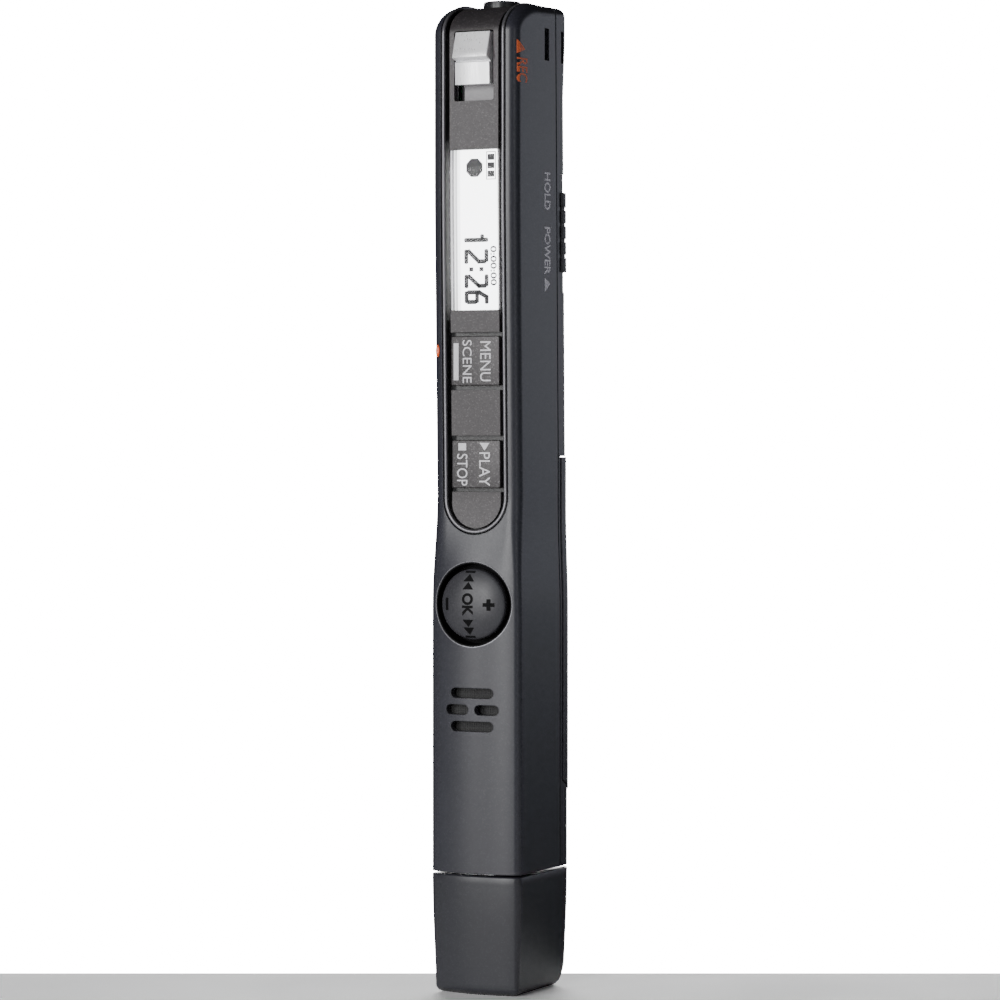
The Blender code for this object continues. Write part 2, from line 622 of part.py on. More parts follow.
def hold_corner(name, x0, depth0, z, outset, look=None):
    """A piece of the rear right corner, grown outwards by outset."""
    form = envelope(name, (0.0, outset, outset), 80.0, look, levels=(90.0, 105.0),
                    curve_steps=4, arc_steps=6)
    return combine(form, box(f"{name}_block", (x0, 12.0), (depth0, 25.0), z, None), "INTERSECT")


def hold_switch():
    look = material("hold_black", (0.05, 0.05, 0.06), 0.5)
    knob = hold_corner("hold_knob", 3.75, 14.0, HOLD_KNOB, -0.32, look)
    combine(knob, envelope("knob_hollow", (0.0, 1.3, 1.3), 80.0, levels=(90.0,), curve_steps=4,
                           arc_steps=4))
    middle = sum(HOLD_KNOB) / 2
    for number in range(4):
        z = middle + (number - 1.5) * 2.1
        combine(knob, hold_groove(f"rib_groove_cut_{number}", z))
    box("hold_switch", (2.2, 4.6), (11.6, 13.4), (96.5, 105.5),
        material("hold_switch_steel", (0.6, 0.6, 0.6), 0.35, 0.9))
    box("switch_flex", (0.6, 1.0), (BOARD[1] + 1.9, 13.2), (99.0, 103.0),
        material("flex_amber", (0.5, 0.25, 0.05), 0.4))


def hold_groove(name, z):
    """Everything outside the shell's corner between two ribs."""
    ring = box(name, (3.0, 12.0), (13.0, 25.0), (z - 0.45, z + 0.45), None)
    core = envelope(f"{name}_core", (0.0, 0.1, 0.1), 80.0, levels=(90.0,), curve_steps=4,
                    arc_steps=4)
    return combine(ring, core)


def end_cap():
    """The cap: tapered towards its flat end, with rounded end edges."""
    look = material("cap_black", (0.05, 0.05, 0.06), 0.45)
    rings = []
    heights = [(0.0, 1.0), (0.12, 0.55), (0.42, 0.22), (0.95, 0.0)]
    for z, edge in heights + [(8.0, 0.0), (14.4, 0.0), (15.6, -0.02), (CAP_TOP, 0.14)]:
        taper = 0.5 * smoothstep((15.0 - z) / 17.0) + 1.1 * edge
        behind = 2.2 * max(0.0, 1.0 - z / 3.2) ** 2 - 0.9 * edge * (z < 1.0)
        front = (taper, z, 1.0, 0.0)
        back = (SHELL_DEPTH - taper - behind, z, -1.0, 0.0)
        ahead = [(x, front[0] + sag, z) for x, sag in front_profile(20.0, taper, 4)]
        back_points = [(x, back[0] - sag, z) for x, sag in rear_profile(20.0, taper, 4)]
        right = ahead + back_points[::-1]
        rings.append(right + [(-x, d, z) for x, d, z in right[::-1] if x > 0.0])
    cap = loft("usb_cap", rings, look, smooth=True)
    half, deep = PLUG_HALF[0] + 0.3, PLUG_HALF[1] + 0.3
    cut_box(cap, "cap_socket_cut", (-half, half), (PLUG_DEPTH - deep, PLUG_DEPTH + deep),
            (2.6, 30.0))


main_housing()
front_frame()
plates()
display()
keys()
record_slider()
navigation_key()
speaker_and_microphones()
earphone_jack()
indicator()
board_and_parts()
battery()
usb_plug()
rear_shell()
battery_cover()
hold_switch()
end_cap()
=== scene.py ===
"""Looks for the pen-shaped voice recorder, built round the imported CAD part.

Lengths in the mesh code are millimetres; a depth is measured backwards from the grip face, and
the places of things come from the CAD nodes.
"""
import math

import bmesh
import bpy
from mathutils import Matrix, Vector


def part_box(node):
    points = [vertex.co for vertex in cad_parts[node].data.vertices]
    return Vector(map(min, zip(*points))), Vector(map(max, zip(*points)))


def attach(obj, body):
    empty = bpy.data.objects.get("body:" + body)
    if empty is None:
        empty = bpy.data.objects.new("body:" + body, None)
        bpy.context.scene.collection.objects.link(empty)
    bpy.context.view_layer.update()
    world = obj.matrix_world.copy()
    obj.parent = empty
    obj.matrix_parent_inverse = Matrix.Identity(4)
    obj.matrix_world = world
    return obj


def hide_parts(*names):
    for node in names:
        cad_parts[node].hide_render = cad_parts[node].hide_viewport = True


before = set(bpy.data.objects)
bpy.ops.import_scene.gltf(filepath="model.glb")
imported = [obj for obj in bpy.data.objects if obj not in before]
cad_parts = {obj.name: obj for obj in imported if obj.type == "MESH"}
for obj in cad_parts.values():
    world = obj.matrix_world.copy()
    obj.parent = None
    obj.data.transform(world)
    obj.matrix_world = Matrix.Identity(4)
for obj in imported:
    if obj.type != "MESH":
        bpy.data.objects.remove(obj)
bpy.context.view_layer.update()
MM = 0.001


def extent(node, axis):
    """Lowest and highest x, y or z of a CAD node, in millimetres."""
    low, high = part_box(node)
    index = "xyz".index(axis)
    return low[index] / MM, high[index] / MM


# ---------------------------------------------------------------- sizes read from the CAD

FRONT_Y = extent("main_housing", "y")[0]
TOP = extent("main_housing", "z")[1]
BODY_BOTTOM = extent("main_housing", "z")[0]
GRIP_HALF = extent("main_housing", "x")[1]
CAP_TOP = extent("usb_cap", "z")[1]
SHELL_DEPTH = extent("rear_shell", "y")[1] - FRONT_Y
MENU, PLAY = extent("menu_button", "z"), extent("play_button", "z")
KEY_HALF = extent("menu_button", "x")[1]
STRIP_HALF = extent("window_plate", "x")[1]
RIM_OUTER = extent("front_frame", "x")[1]
RIM_BOTTOM = extent("front_frame", "z")[0]
RIM_INNER = RIM_OUTER - 0.5
DIAL_Z = sum(extent("nav_key", "z")) / 2
DIAL_RADIUS = extent("nav_key", "x")[1]
DIAL_CROWN = extent("nav_key", "y")[0] - FRONT_Y
SPEAKER_Z = sum(extent("speaker_mesh", "z")) / 2
COVER = extent("battery_cover", "z")
HOLD_KNOB = extent("hold_knob", "z")
JACK_DEPTH = sum(extent("jack_bezel", "y")) / 2 - FRONT_Y
LCD = extent("lcd_window", "z")
DISPLAY = (LCD[0] - 0.1, LCD[1] + 0.1)
DISPLAY_HALF = extent("lcd_window", "x")[1] + 0.1
PLUG_DEPTH = sum(extent("usb_shell", "y")) / 2 - FRONT_Y
PLUG_HALF = (extent("usb_shell", "x")[1], extent("usb_shell", "y")[1] - FRONT_Y - PLUG_DEPTH)

# The rest of the form
UPPER_HALF = 6.3
UPPER_SHELL_DEPTH = SHELL_DEPTH - 0.85
REAR_SHELL_THICKNESS = 3.8
SEAM_GAP = 0.24
SIDE_WALL = 0.75
FRONT_WALL = 1.1
REAR_RADIUS = 2.0
TOP_REAR_RADIUS = 1.1
TOP_CURVE_DEPTH = 7.74
TOP_CURVE_HEIGHT = 4.4
FRAME_OPENING = RIM_OUTER + 0.15
PLATE_RECESS = 0.3
PLATE_THICKNESS = 0.9
SLIDER_WINDOW = (117.8, 127.0)
SLIDER_HALF = 2.9
DIAL_HOLE_RADIUS = DIAL_RADIUS + 0.85
SLOT_HEIGHT = 1.35
COVER_SPLIT = 13.95
COVER_PROUD = 0.15
COVER_RAMP = 0.6
HOLD_SLOT = (HOLD_KNOB[0] - 2.7, HOLD_KNOB[1] + 2.5)
CURVE_STEPS = 20
ARC_STEPS = 10
FLAT_STEPS = 8
FINE_LEVELS = [18.0 + 4.0 * k for k in range(8)] + [50.0 + k for k in range(21)] + [
    74.0 + 5.0 * k for k in range(10)]


# ---------------------------------------------------------------- mesh helpers

def smoothstep(value):
    value = min(max(value, 0.0), 1.0)
    return value * value * (3.0 - 2.0 * value)


def lerp(a, b, t):
    return a + (b - a) * t


def make(name, verts, faces, smooth=True, sharp=35):
    """An object from vertices (x, depth, z) in millimetres, with its faces turned outwards."""
    mesh = bpy.data.meshes.new(name)
    mesh.from_pydata([(x * MM, (FRONT_Y + d) * MM, z * MM) for x, d, z in verts], [], faces)
    work = bmesh.new()
    work.from_mesh(mesh)
    bmesh.ops.recalc_face_normals(work, faces=work.faces)
    work.to_mesh(mesh)
    work.free()
    if smooth:
        mesh.shade_smooth()
        mesh.set_sharp_from_angle(angle=math.radians(sharp))
    thing = bpy.data.objects.new(name, mesh)
    bpy.context.scene.collection.objects.link(thing)
    return thing


def loft(name, rings, smooth=True, sharp=35):
    """A closed solid through rings of equal point counts, with flat ends."""
    count = len(rings[0])
    verts = [point for ring in rings for point in ring]
    faces = [tuple(range(count)), tuple(range(len(verts) - count, len(verts)))]
    for level in range(len(rings) - 1):
        for side in range(count):
            a, b = level * count + side, level * count + (side + 1) % count
            faces.append((a, b, b + count, a + count))
    return make(name, verts, faces, smooth, sharp)


def block(name, x, depth, z):
    """A plain cutter between two x, two depths and two heights."""
    rings = [[(x[0], depth[0], level), (x[1], depth[0], level),
              (x[1], depth[1], level), (x[0], depth[1], level)] for level in z]
    return loft(name, rings, smooth=False)


def rounded_outline(a, b, radius, steps=5):
    """A rectangle between a[0], a[1] and b[0], b[1] with round corners."""
    points = []
    for ca, cb, start in ((a[1] - radius, b[1] - radius, 0), (a[0] + radius, b[1] - radius, 90),
                          (a[0] + radius, b[0] + radius, 180), (a[1] - radius, b[0] + radius, 270)):
        for k in range(steps + 1):
            angle = math.radians(start + 90 * k / steps)
            points.append((ca + radius * math.cos(angle), cb + radius * math.sin(angle)))
    return points


def soft_block(name, x, depth, z, radius=0.3, edge=0.1):
    """A plate that faces -Y with round corners and rounded front edges."""
    rings = []
    for k in range(5):
        angle = math.pi / 2 * k / 4
        draw = edge * (1 - math.sin(angle))
        outline = rounded_outline((x[0] + draw, x[1] - draw), (z[0] + draw, z[1] - draw),
                                  max(radius - draw, 0.02))
        rings.append([(a, depth[0] + edge * (1 - math.cos(angle)), b) for a, b in outline])
    outline = rounded_outline(x, z, radius)
    rings.append([(a, depth[1], b) for a, b in outline])
    return loft(name, rings, sharp=50)


def turned(name, profile, centre, axis, sides=64, sharp=35):
    """A turned solid: profile is (radius, place along the axis), from one end to the other."""
    rings = []
    for radius, along in profile:
        ring = []
        for k in range(sides):
            angle = 2 * math.pi * (k + 0.5) / sides
            a, b = radius * math.cos(angle), radius * math.sin(angle)
            if axis == "x":
                ring.append((along, centre[0] + a, centre[1] + b))
            elif axis == "depth":
                ring.append((centre[0] + a, along, centre[1] + b))
            else:
                ring.append((centre[0] + a, centre[1] + b, along))
        rings.append(ring)
    return loft(name, rings, sharp=sharp)


def ring_solid(name, sections, sharp=35):
    """A closed ring: sections is a list of closed outlines of equal point counts."""
    count = len(sections[0])
    verts = [point for section in sections for point in section]
    faces = []
    for part in range(len(sections)):
        for k in range(count):
            a, b, j = part * count, (part + 1) % len(sections) * count, (k + 1) % count
            faces.append((a + k, a + j, b + j, b + k))
    return make(name, verts, faces, sharp=sharp)


def through(name, outline, depth):
    """A prism with an outline in x and z, between two depths."""
    return loft(name, [[(x, level, z) for x, z in outline] for level in depth])


def slot_outline(x0, x1, z0, z1, steps=10):
    radius, points = (z1 - z0) / 2, []
    for centre, start in ((x1 - radius, -90), (x0 + radius, 90)):
        for k in range(steps + 1):
            angle = math.radians(start + 180 * k / steps)
            points.append((centre + radius * math.cos(angle),
                           (z0 + z1) / 2 + radius * math.sin(angle)))
    return points


def u_outline(half, bottom, top=140.0, steps=36):
    points = [(half, top), (-half, top)]
    for k in range(steps + 1):
        angle = math.radians(180 + 180 * k / steps)
        points.append((half * math.cos(angle), bottom + half + half * math.sin(angle)))
    return points


def combine(target, tool, operation="DIFFERENCE"):
    """Cuts or joins at once, and takes the tool away."""
    modifier = target.modifiers.new("combine", "BOOLEAN")
    modifier.operation, modifier.object, modifier.solver = operation, tool, "MANIFOLD"
    bpy.context.view_layer.update()
    made = bpy.data.meshes.new_from_object(target.evaluated_get(bpy.context.evaluated_depsgraph_get()))
    target.modifiers.clear()
    target.data = made
    bpy.data.objects.remove(tool, do_unlink=True)
    return target


def smooth_again(thing, sharp=30):
    work = bmesh.new()
    work.from_mesh(thing.data)
    bmesh.ops.remove_doubles(work, verts=work.verts, dist=0.000002)
    bmesh.ops.dissolve_degenerate(work, edges=work.edges, dist=0.000001)
    work.to_mesh(thing.data)
    work.free()
    thing.data.shade_smooth()
    thing.data.set_sharp_from_angle(angle=math.radians(sharp))
    return thing


def joined(name, things):
    """Several meshes as one piece."""
    work = bmesh.new()
    for thing in things:
        work.from_mesh(thing.data)
        bpy.data.objects.remove(thing, do_unlink=True)
    mesh = bpy.data.meshes.new(name)
    work.to_mesh(mesh)
    work.free()
    mesh.shade_smooth()
    mesh.set_sharp_from_angle(angle=math.radians(35))
    made = bpy.data.objects.new(name, mesh)
    bpy.context.scene.collection.objects.link(made)
    return made


# ---------------------------------------------------------------- materials

class Look:
    """A Principled material whose colour, roughness and bump all vary."""

    def __init__(self, name):
        self.material = bpy.data.materials.new(name)
        self.material.use_nodes = True
        self.tree = self.material.node_tree
        self.shader = self.tree.nodes["Principled BSDF"]
        self.place = self.node("ShaderNodeTexCoord").outputs["Object"]

    def node(self, kind, **values):
        made = self.tree.nodes.new(kind)
        for key, value in values.items():
            if hasattr(made, key):
                setattr(made, key, value)
            else:
                made.inputs[key.replace("_", " ")].default_value = value
        return made

    def link(self, a, b):
        self.tree.links.new(a, b)

    def stretched(self, scale):
        mapping = self.node("ShaderNodeMapping")
        mapping.inputs["Scale"].default_value = scale
        self.link(self.place, mapping.inputs["Vector"])
        return mapping.outputs["Vector"]

    def noise(self, scale, detail=3.0, vector=None, roughness=0.5):
        made = self.node("ShaderNodeTexNoise", Scale=scale, Detail=detail, Roughness=roughness)
        self.link(vector or self.place, made.inputs["Vector"])
        return made.outputs["Fac"]

    def spread(self, value, low, high, out=(0.0, 1.0)):
        made = self.node("ShaderNodeMapRange")
        for key, number in (("From Min", low), ("From Max", high), ("To Min", out[0]),
                            ("To Max", out[1])):
            made.inputs[key].default_value = number
        self.link(value, made.inputs["Value"])
        return made.outputs["Result"]

    def mix(self, factor, a, b):
        made = self.node("ShaderNodeMix", data_type="RGBA")
        self.link(factor, made.inputs["Factor"])
        for socket, value in ((made.inputs[6], a), (made.inputs[7], b)):
            if isinstance(value, tuple):
                socket.default_value = (*value, 1.0)
            else:
                self.link(value, socket)
        return made.outputs[2]

    def times(self, a, b, operation="MULTIPLY"):
        made = self.node("ShaderNodeMath", operation=operation)
        for socket, value in zip(made.inputs, (a, b)):
            if isinstance(value, (int, float)):
                socket.default_value = value
            else:
                self.link(value, socket)
        return made.outputs[0]

    def bump(self, height, strength, distance=0.00002, edge=0.0):
        made = self.node("ShaderNodeBump", Strength=strength, Distance=distance)
        self.link(height, made.inputs["Height"])
        if edge:
            bevel = self.node("ShaderNodeBevel", samples=4)
            bevel.inputs["Radius"].default_value = edge * MM
            self.link(bevel.outputs["Normal"], made.inputs["Normal"])
        self.link(made.outputs["Normal"], self.shader.inputs["Normal"])


def finish(name, dark, light, rough=(0.4, 0.5), metallic=0.0, cloud=90.0, grain=5000.0,
           bump=0.15, edge=0.0, specular=0.5, stretch=None, flakes=0.0):
    """Paint, plastic or metal: cloudy colour, uneven roughness, fine grain."""
    look = Look(name)
    place = look.stretched(stretch) if stretch else look.place
    colour = look.mix(look.spread(look.noise(cloud, 4.0, place), 0.3, 0.7), dark, light)
    grains = look.noise(grain, 2.0, place, 0.6)
    if flakes:
        cells = look.node("ShaderNodeTexVoronoi", Scale=7000.0)
        look.link(look.place, cells.inputs["Vector"])
        split = look.node("ShaderNodeSeparateColor")
        look.link(cells.outputs["Color"], split.inputs["Color"])
        chosen = look.spread(split.outputs["Red"], 0.8, 1.0, (0.0, flakes))
        colour = look.mix(chosen, colour, tuple(min(1.0, value * 2.6 + 0.1) for value in light))
    look.link(colour, look.shader.inputs["Base Color"])
    look.link(look.spread(grains, 0.3, 0.7, rough), look.shader.inputs["Roughness"])
    look.shader.inputs["Metallic"].default_value = metallic
    look.shader.inputs["Specular IOR Level"].default_value = specular
    look.shader.inputs["Coat Roughness"].default_value = 0.2
    look.bump(grains, bump, edge=edge)
    return look.material


def glass_look():
    look = Look("window_glass")
    smear = look.noise(300.0, 3.0)
    look.link(look.spread(smear, 0.3, 0.7, (0.03, 0.07)), look.shader.inputs["Roughness"])
    look.link(look.mix(look.spread(smear, 0.35, 0.65), (0.012, 0.012, 0.013), (0.02, 0.02, 0.022)),
              look.shader.inputs["Base Color"])
    look.shader.inputs["Alpha"].default_value = 0.1
    look.bump(smear, 0.02)
    return look.material


def screen_look():
    """The display's pale face, which glows though no lamp is in it (painted light), with ruled grey painted
    shade that fades out from its left edge.
    """
    look = Look("screen_glow_and_shade")
    parts = look.node("ShaderNodeSeparateXYZ")
    look.link(look.place, parts.inputs[0])
    fade = look.spread(parts.outputs["X"], -0.0035, -0.0020, (0.75, 0.0))
    lines = look.node("ShaderNodeTexWave", bands_direction="X", Scale=650.0, Distortion=0.0)
    look.link(look.place, lines.inputs["Vector"])
    shade = look.times(fade, look.spread(lines.outputs["Fac"], 0.2, 0.8, (0.5, 1.0)))
    grain = look.noise(4000.0, 2.0)
    ground = look.mix(look.spread(grain, 0.3, 0.7), (0.74, 0.75, 0.77), (0.80, 0.81, 0.82))
    face = look.mix(shade, ground, (0.05, 0.05, 0.055))
    look.link(face, look.shader.inputs["Base Color"])
    # Painted light: the face glows in its own colour, and the glow is dimmed under the painted shade.
    look.link(face, look.shader.inputs["Emission Color"])
    lit = look.times(look.times(look.times(shade, -1.0), 1.0, "ADD"), 3.0, "POWER")
    look.link(look.times(lit, 9.0), look.shader.inputs["Emission Strength"])
    look.link(look.spread(grain, 0.3, 0.7, (0.35, 0.45)), look.shader.inputs["Roughness"])
    look.bump(grain, 0.03)
    return look.material


def board_look():
    look = Look("board_green")
    cells = look.node("ShaderNodeTexBrick", Scale=420.0)
    look.link(look.place, cells.inputs["Vector"])
    cells.inputs["Color1"].default_value = (0.012, 0.09, 0.035, 1.0)
    cells.inputs["Color2"].default_value = (0.016, 0.12, 0.045, 1.0)
    cells.inputs["Mortar"].default_value = (0.03, 0.2, 0.08, 1.0)
    cells.inputs["Mortar Size"].default_value = 0.03
    grain = look.noise(3000.0, 3.0)
    look.link(cells.outputs["Color"], look.shader.inputs["Base Color"])
    look.link(look.spread(grain, 0.3, 0.7, (0.3, 0.45)), look.shader.inputs["Roughness"])
    look.bump(grain, 0.1)
    return look.material


LOOKS = {}


def looks():
    navy = dict(rough=(0.30, 0.40), grain=9000.0, bump=0.12, flakes=0.06)
    LOOKS["housing_navy"] = finish("housing_navy", (0.022, 0.0225, 0.030), (0.026, 0.0265, 0.035),
                                   edge=0.12, **navy)
    LOOKS["rear_navy"] = finish("rear_navy", (0.022, 0.0225, 0.030), (0.026, 0.0265, 0.035),
                                edge=0.12, **navy)
    LOOKS["cover_navy"] = finish("cover_navy", (0.023, 0.0235, 0.031), (0.027, 0.0275, 0.036),
                                 edge=0.12, **navy)
    LOOKS["cap_black"] = finish("cap_black", (0.020, 0.0205, 0.026), (0.024, 0.0245, 0.031),
                                edge=0.12, **navy)
    LOOKS["rim_grey"] = finish("rim_grey", (0.13, 0.128, 0.138), (0.16, 0.157, 0.168),
                               rough=(0.3, 0.4), metallic=0.6, grain=7000.0, bump=0.08, edge=0.08)
    LOOKS["plate_grey"] = finish("plate_grey", (0.032, 0.029, 0.031), (0.040, 0.036, 0.038),
                                 rough=(0.34, 0.5), metallic=0.2, grain=8000.0, flakes=0.2,
                                 edge=0.06)
    LOOKS["key_grey"] = finish("key_grey", (0.032, 0.029, 0.031), (0.041, 0.037, 0.039),
                               rough=(0.32, 0.48), metallic=0.2, grain=8000.0, flakes=0.4,
                               edge=0.05)
    LOOKS["slider_silver"] = finish("slider_silver", (0.90, 0.90, 0.92), (0.96, 0.96, 0.97),
                                    rough=(0.26, 0.36), metallic=0.4, grain=5000.0, bump=0.05,
                                    edge=0.1, stretch=(1.0, 1.0, 0.08))
    LOOKS["floor_grey"] = finish("floor_grey", (0.2, 0.195, 0.205), (0.25, 0.24, 0.25))
    LOOKS["dial_black"] = finish("dial_black", (0.03, 0.03, 0.035), (0.038, 0.038, 0.044),
                                 rough=(0.38, 0.48), grain=7000.0, bump=0.08, edge=0.08)
    # Black print on the dial; the same material is the painted shade lining the dial's hole.
    LOOKS["dial_print_and_gap_shade"] = finish("dial_print_and_gap_shade", (0.002, 0.002, 0.002), (0.004, 0.004, 0.005),
                                rough=(0.6, 0.7), specular=0.1)
    LOOKS["bright_edge"] = finish("bright_edge", (0.12, 0.12, 0.13), (0.16, 0.16, 0.17),
                                  rough=(0.25, 0.35), metallic=0.7, grain=6000.0, bump=0.05)
    LOOKS["pale_print"] = finish("pale_print", (0.62, 0.61, 0.64), (0.7, 0.69, 0.72),
                                 rough=(0.45, 0.6), grain=9000.0)
    LOOKS["side_print"] = finish("side_print", (0.72, 0.71, 0.78), (0.80, 0.79, 0.86),
                                 rough=(0.45, 0.6), grain=9000.0)
    LOOKS["orange_print"] = finish("orange_print", (0.62, 0.11, 0.03), (0.72, 0.15, 0.05),
                                   rough=(0.45, 0.6), grain=9000.0)
    LOOKS["segment_grey"] = finish("segment_grey", (0.06, 0.06, 0.065), (0.08, 0.08, 0.085),
                                   rough=(0.4, 0.5), grain=6000.0)
    LOOKS["led_orange"] = finish("led_orange", (0.80, 0.08, 0.01), (0.90, 0.13, 0.015),
                                 rough=(0.18, 0.28), grain=3000.0, bump=0.05)
    LOOKS["hold_black"] = finish("hold_black", (0.020, 0.020, 0.026), (0.028, 0.028, 0.034),
                                 rough=(0.42, 0.55), grain=6000.0, edge=0.08)
    # Near black: the jack ring's own colour; on the front frame it stands for painted shade in the gaps
    # round the keys and plates.
    LOOKS["bezel_black"] = finish("bezel_black", (0.010, 0.010, 0.012), (0.016, 0.016, 0.018),
                                  rough=(0.28, 0.4), grain=5000.0, edge=0.05)
    LOOKS["mesh_black"] = finish("mesh_black", (0.006, 0.006, 0.007), (0.012, 0.012, 0.013),
                                 rough=(0.5, 0.7), grain=6000.0)
    # Near-black wires: partly their own colour, partly painted shade inside the speaker slots.
    LOOKS["wire_black_and_slot_shade"] = finish("wire_black_and_slot_shade", (0.004, 0.004, 0.005), (0.008, 0.008, 0.009),
                                rough=(0.4, 0.55), metallic=0.3, grain=6000.0)
    LOOKS["display_glass"] = glass_look()
    LOOKS["lcd_grey"] = screen_look()
    LOOKS["board_green"] = board_look()
    metal = dict(metallic=0.95, rough=(0.2, 0.38), grain=4000.0, bump=0.08)
    for name, dark, light in (("switch_steel", (0.5, 0.5, 0.5), (0.62, 0.62, 0.61)),
                              ("rocker_steel", (0.52, 0.52, 0.52), (0.64, 0.64, 0.63)),
                              ("microphone_metal", (0.5, 0.5, 0.48), (0.6, 0.6, 0.58)),
                              ("screw_steel", (0.45, 0.45, 0.46), (0.6, 0.6, 0.6)),
                              ("can_tin", (0.58, 0.58, 0.57), (0.7, 0.7, 0.69)),
                              ("contact_nickel", (0.6, 0.58, 0.52), (0.7, 0.68, 0.62)),
                              ("plug_steel", (0.6, 0.61, 0.62), (0.72, 0.73, 0.74)),
                              ("contact_gold", (0.7, 0.5, 0.18), (0.82, 0.62, 0.26))):
        LOOKS[name] = finish(name, dark, light, stretch=(1.0, 1.0, 0.15), **metal)
    for name, dark, light, rough in (
            ("holder_white", (0.66, 0.66, 0.64), (0.75, 0.75, 0.73), (0.5, 0.6)),
            ("switch_black", (0.012, 0.012, 0.013), (0.02, 0.02, 0.022), (0.45, 0.6)),
            ("gasket_black", (0.01, 0.01, 0.01), (0.02, 0.02, 0.02), (0.8, 0.95)),
            ("speaker_grey", (0.12, 0.12, 0.12), (0.18, 0.18, 0.18), (0.4, 0.55)),
            ("led_chip_white", (0.7, 0.7, 0.62), (0.8, 0.8, 0.72), (0.35, 0.45)),
            ("chip_black", (0.012, 0.012, 0.013), (0.022, 0.022, 0.024), (0.4, 0.55)),
            ("capacitor_blue", (0.03, 0.045, 0.16), (0.045, 0.06, 0.2), (0.3, 0.42)),
            ("cell_jacket", (0.04, 0.12, 0.055), (0.07, 0.2, 0.09), (0.25, 0.35)),
            ("tongue_black", (0.012, 0.012, 0.013), (0.02, 0.02, 0.022), (0.45, 0.6)),
            ("flex_amber", (0.4, 0.16, 0.03), (0.5, 0.22, 0.05), (0.3, 0.42))):
        LOOKS[name] = finish(name, dark, light, rough=rough)


def dress(thing, look, body="recorder", stands_for=()):
    """Gives a piece its material, its body and the CAD nodes it stands for."""
    thing.data.materials.clear()
    thing.data.materials.append(LOOKS[look])
    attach(thing, body)
    if stands_for:
        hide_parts(*stands_for)
    return thing


# ---------------------------------------------------------------- the body's outer form

def half_width(z):
    return lerp(GRIP_HALF, UPPER_HALF, smoothstep((z - 50.0) / 14.0))


def front_depth(z):
    if z < 66.0:
        return 1.2 * smoothstep((z - 53.0) / 13.0)
    return max(1.2 - 0.74 * (z - 66.0) / 39.0, 0.46)


def back_depth(z):
    if z < 70.0:
        return SHELL_DEPTH
    return lerp(SHELL_DEPTH, UPPER_SHELL_DEPTH, (z - 70.0) / (TOP - 70.0))


def seam_depth(z):
    return back_depth(z) - REAR_SHELL_THICKNESS


def crown(x, z):
    """How far the front surface falls behind its front line."""
    upper = smoothstep((z - 54.0) / 10.0)
    return lerp(0.75 * (x / 5.6) ** 2, max(0.0, abs(x) - 4.6) * 0.24, upper)


def front_profile(z, inset, arc_steps):
    upper = smoothstep((z - 54.0) / 10.0)
    half = half_width(z) - inset
    radius = max(lerp(1.1, 1.5, upper) - inset, 0.15)
    slope = math.atan(lerp(1.5 * half / 5.6 ** 2, 0.24, upper))
    last = half - radius + radius * math.sin(slope)
    centre = crown(last, z) + radius * math.cos(slope)
    edge = min(4.6, last - 0.3)
    points = [(edge * k / FLAT_STEPS, crown(edge * k / FLAT_STEPS, z)) for k in range(FLAT_STEPS + 1)]
    for k in range(arc_steps + 1):
        angle = lerp(slope, math.pi / 2, k / arc_steps)
        points.append((half - radius + radius * math.sin(angle), centre - radius * math.cos(angle)))
    return points


def rear_profile(z, inset, arc_steps):
    half = half_width(z) - inset
    radius = max(lerp(REAR_RADIUS, TOP_REAR_RADIUS, smoothstep((z - 120.0) / 8.0)) - inset, 0.3)
    edge = half - radius - 0.3
    points = [(edge * k / FLAT_STEPS, 0.0) for k in range(FLAT_STEPS + 1)]
    for k in range(arc_steps + 1):
        angle = math.pi / 2 * k / arc_steps
        points.append((half - radius + radius * math.sin(angle), radius - radius * math.cos(angle)))
    return points


def top_curve(k, steps):
    """A point of the top front edge, with the inward step there."""
    angle = math.pi / 2 * k / steps
    base = TOP - TOP_CURVE_HEIGHT
    slope = (math.cos(angle) / TOP_CURVE_DEPTH, -math.sin(angle) / TOP_CURVE_HEIGHT)
    size = math.hypot(*slope)
    return (front_depth(base) + TOP_CURVE_DEPTH * (1 - math.cos(angle)),
            base + TOP_CURVE_HEIGHT * math.sin(angle), slope[0] / size, slope[1] / size)


def stations(inset, bottom, levels, curve_steps):
    curve_base = TOP - TOP_CURVE_HEIGHT
    heights = [bottom] + [z for z in levels if z > bottom + 0.5] + [curve_base]
    pairs = [((front_depth(z) + inset[0], z, 1.0, 0.0),
              (back_depth(z) - inset[1], z, -1.0, 0.0)) for z in heights]
    corner = min(max(1.3 - inset[1], 0.4), 2.5)
    corner_z = TOP - inset[0] - corner
    for k in range(1, curve_steps + 1):
        depth, z, step_d, step_z = top_curve(k, curve_steps)
        front = (depth + inset[0] * step_d, z + inset[0] * step_z, step_d, step_z)
        turn = math.pi / 2 * max(0.0, (k - curve_steps / 2) / (curve_steps / 2))
        rise = lerp(curve_base, corner_z, min(1.0, k / (curve_steps / 2)))
        back = (back_depth(TOP) - inset[1] - corner + corner * math.cos(turn),
                rise + corner * math.sin(turn), -math.cos(turn), -math.sin(turn))
        pairs.append((front, back))
    return pairs


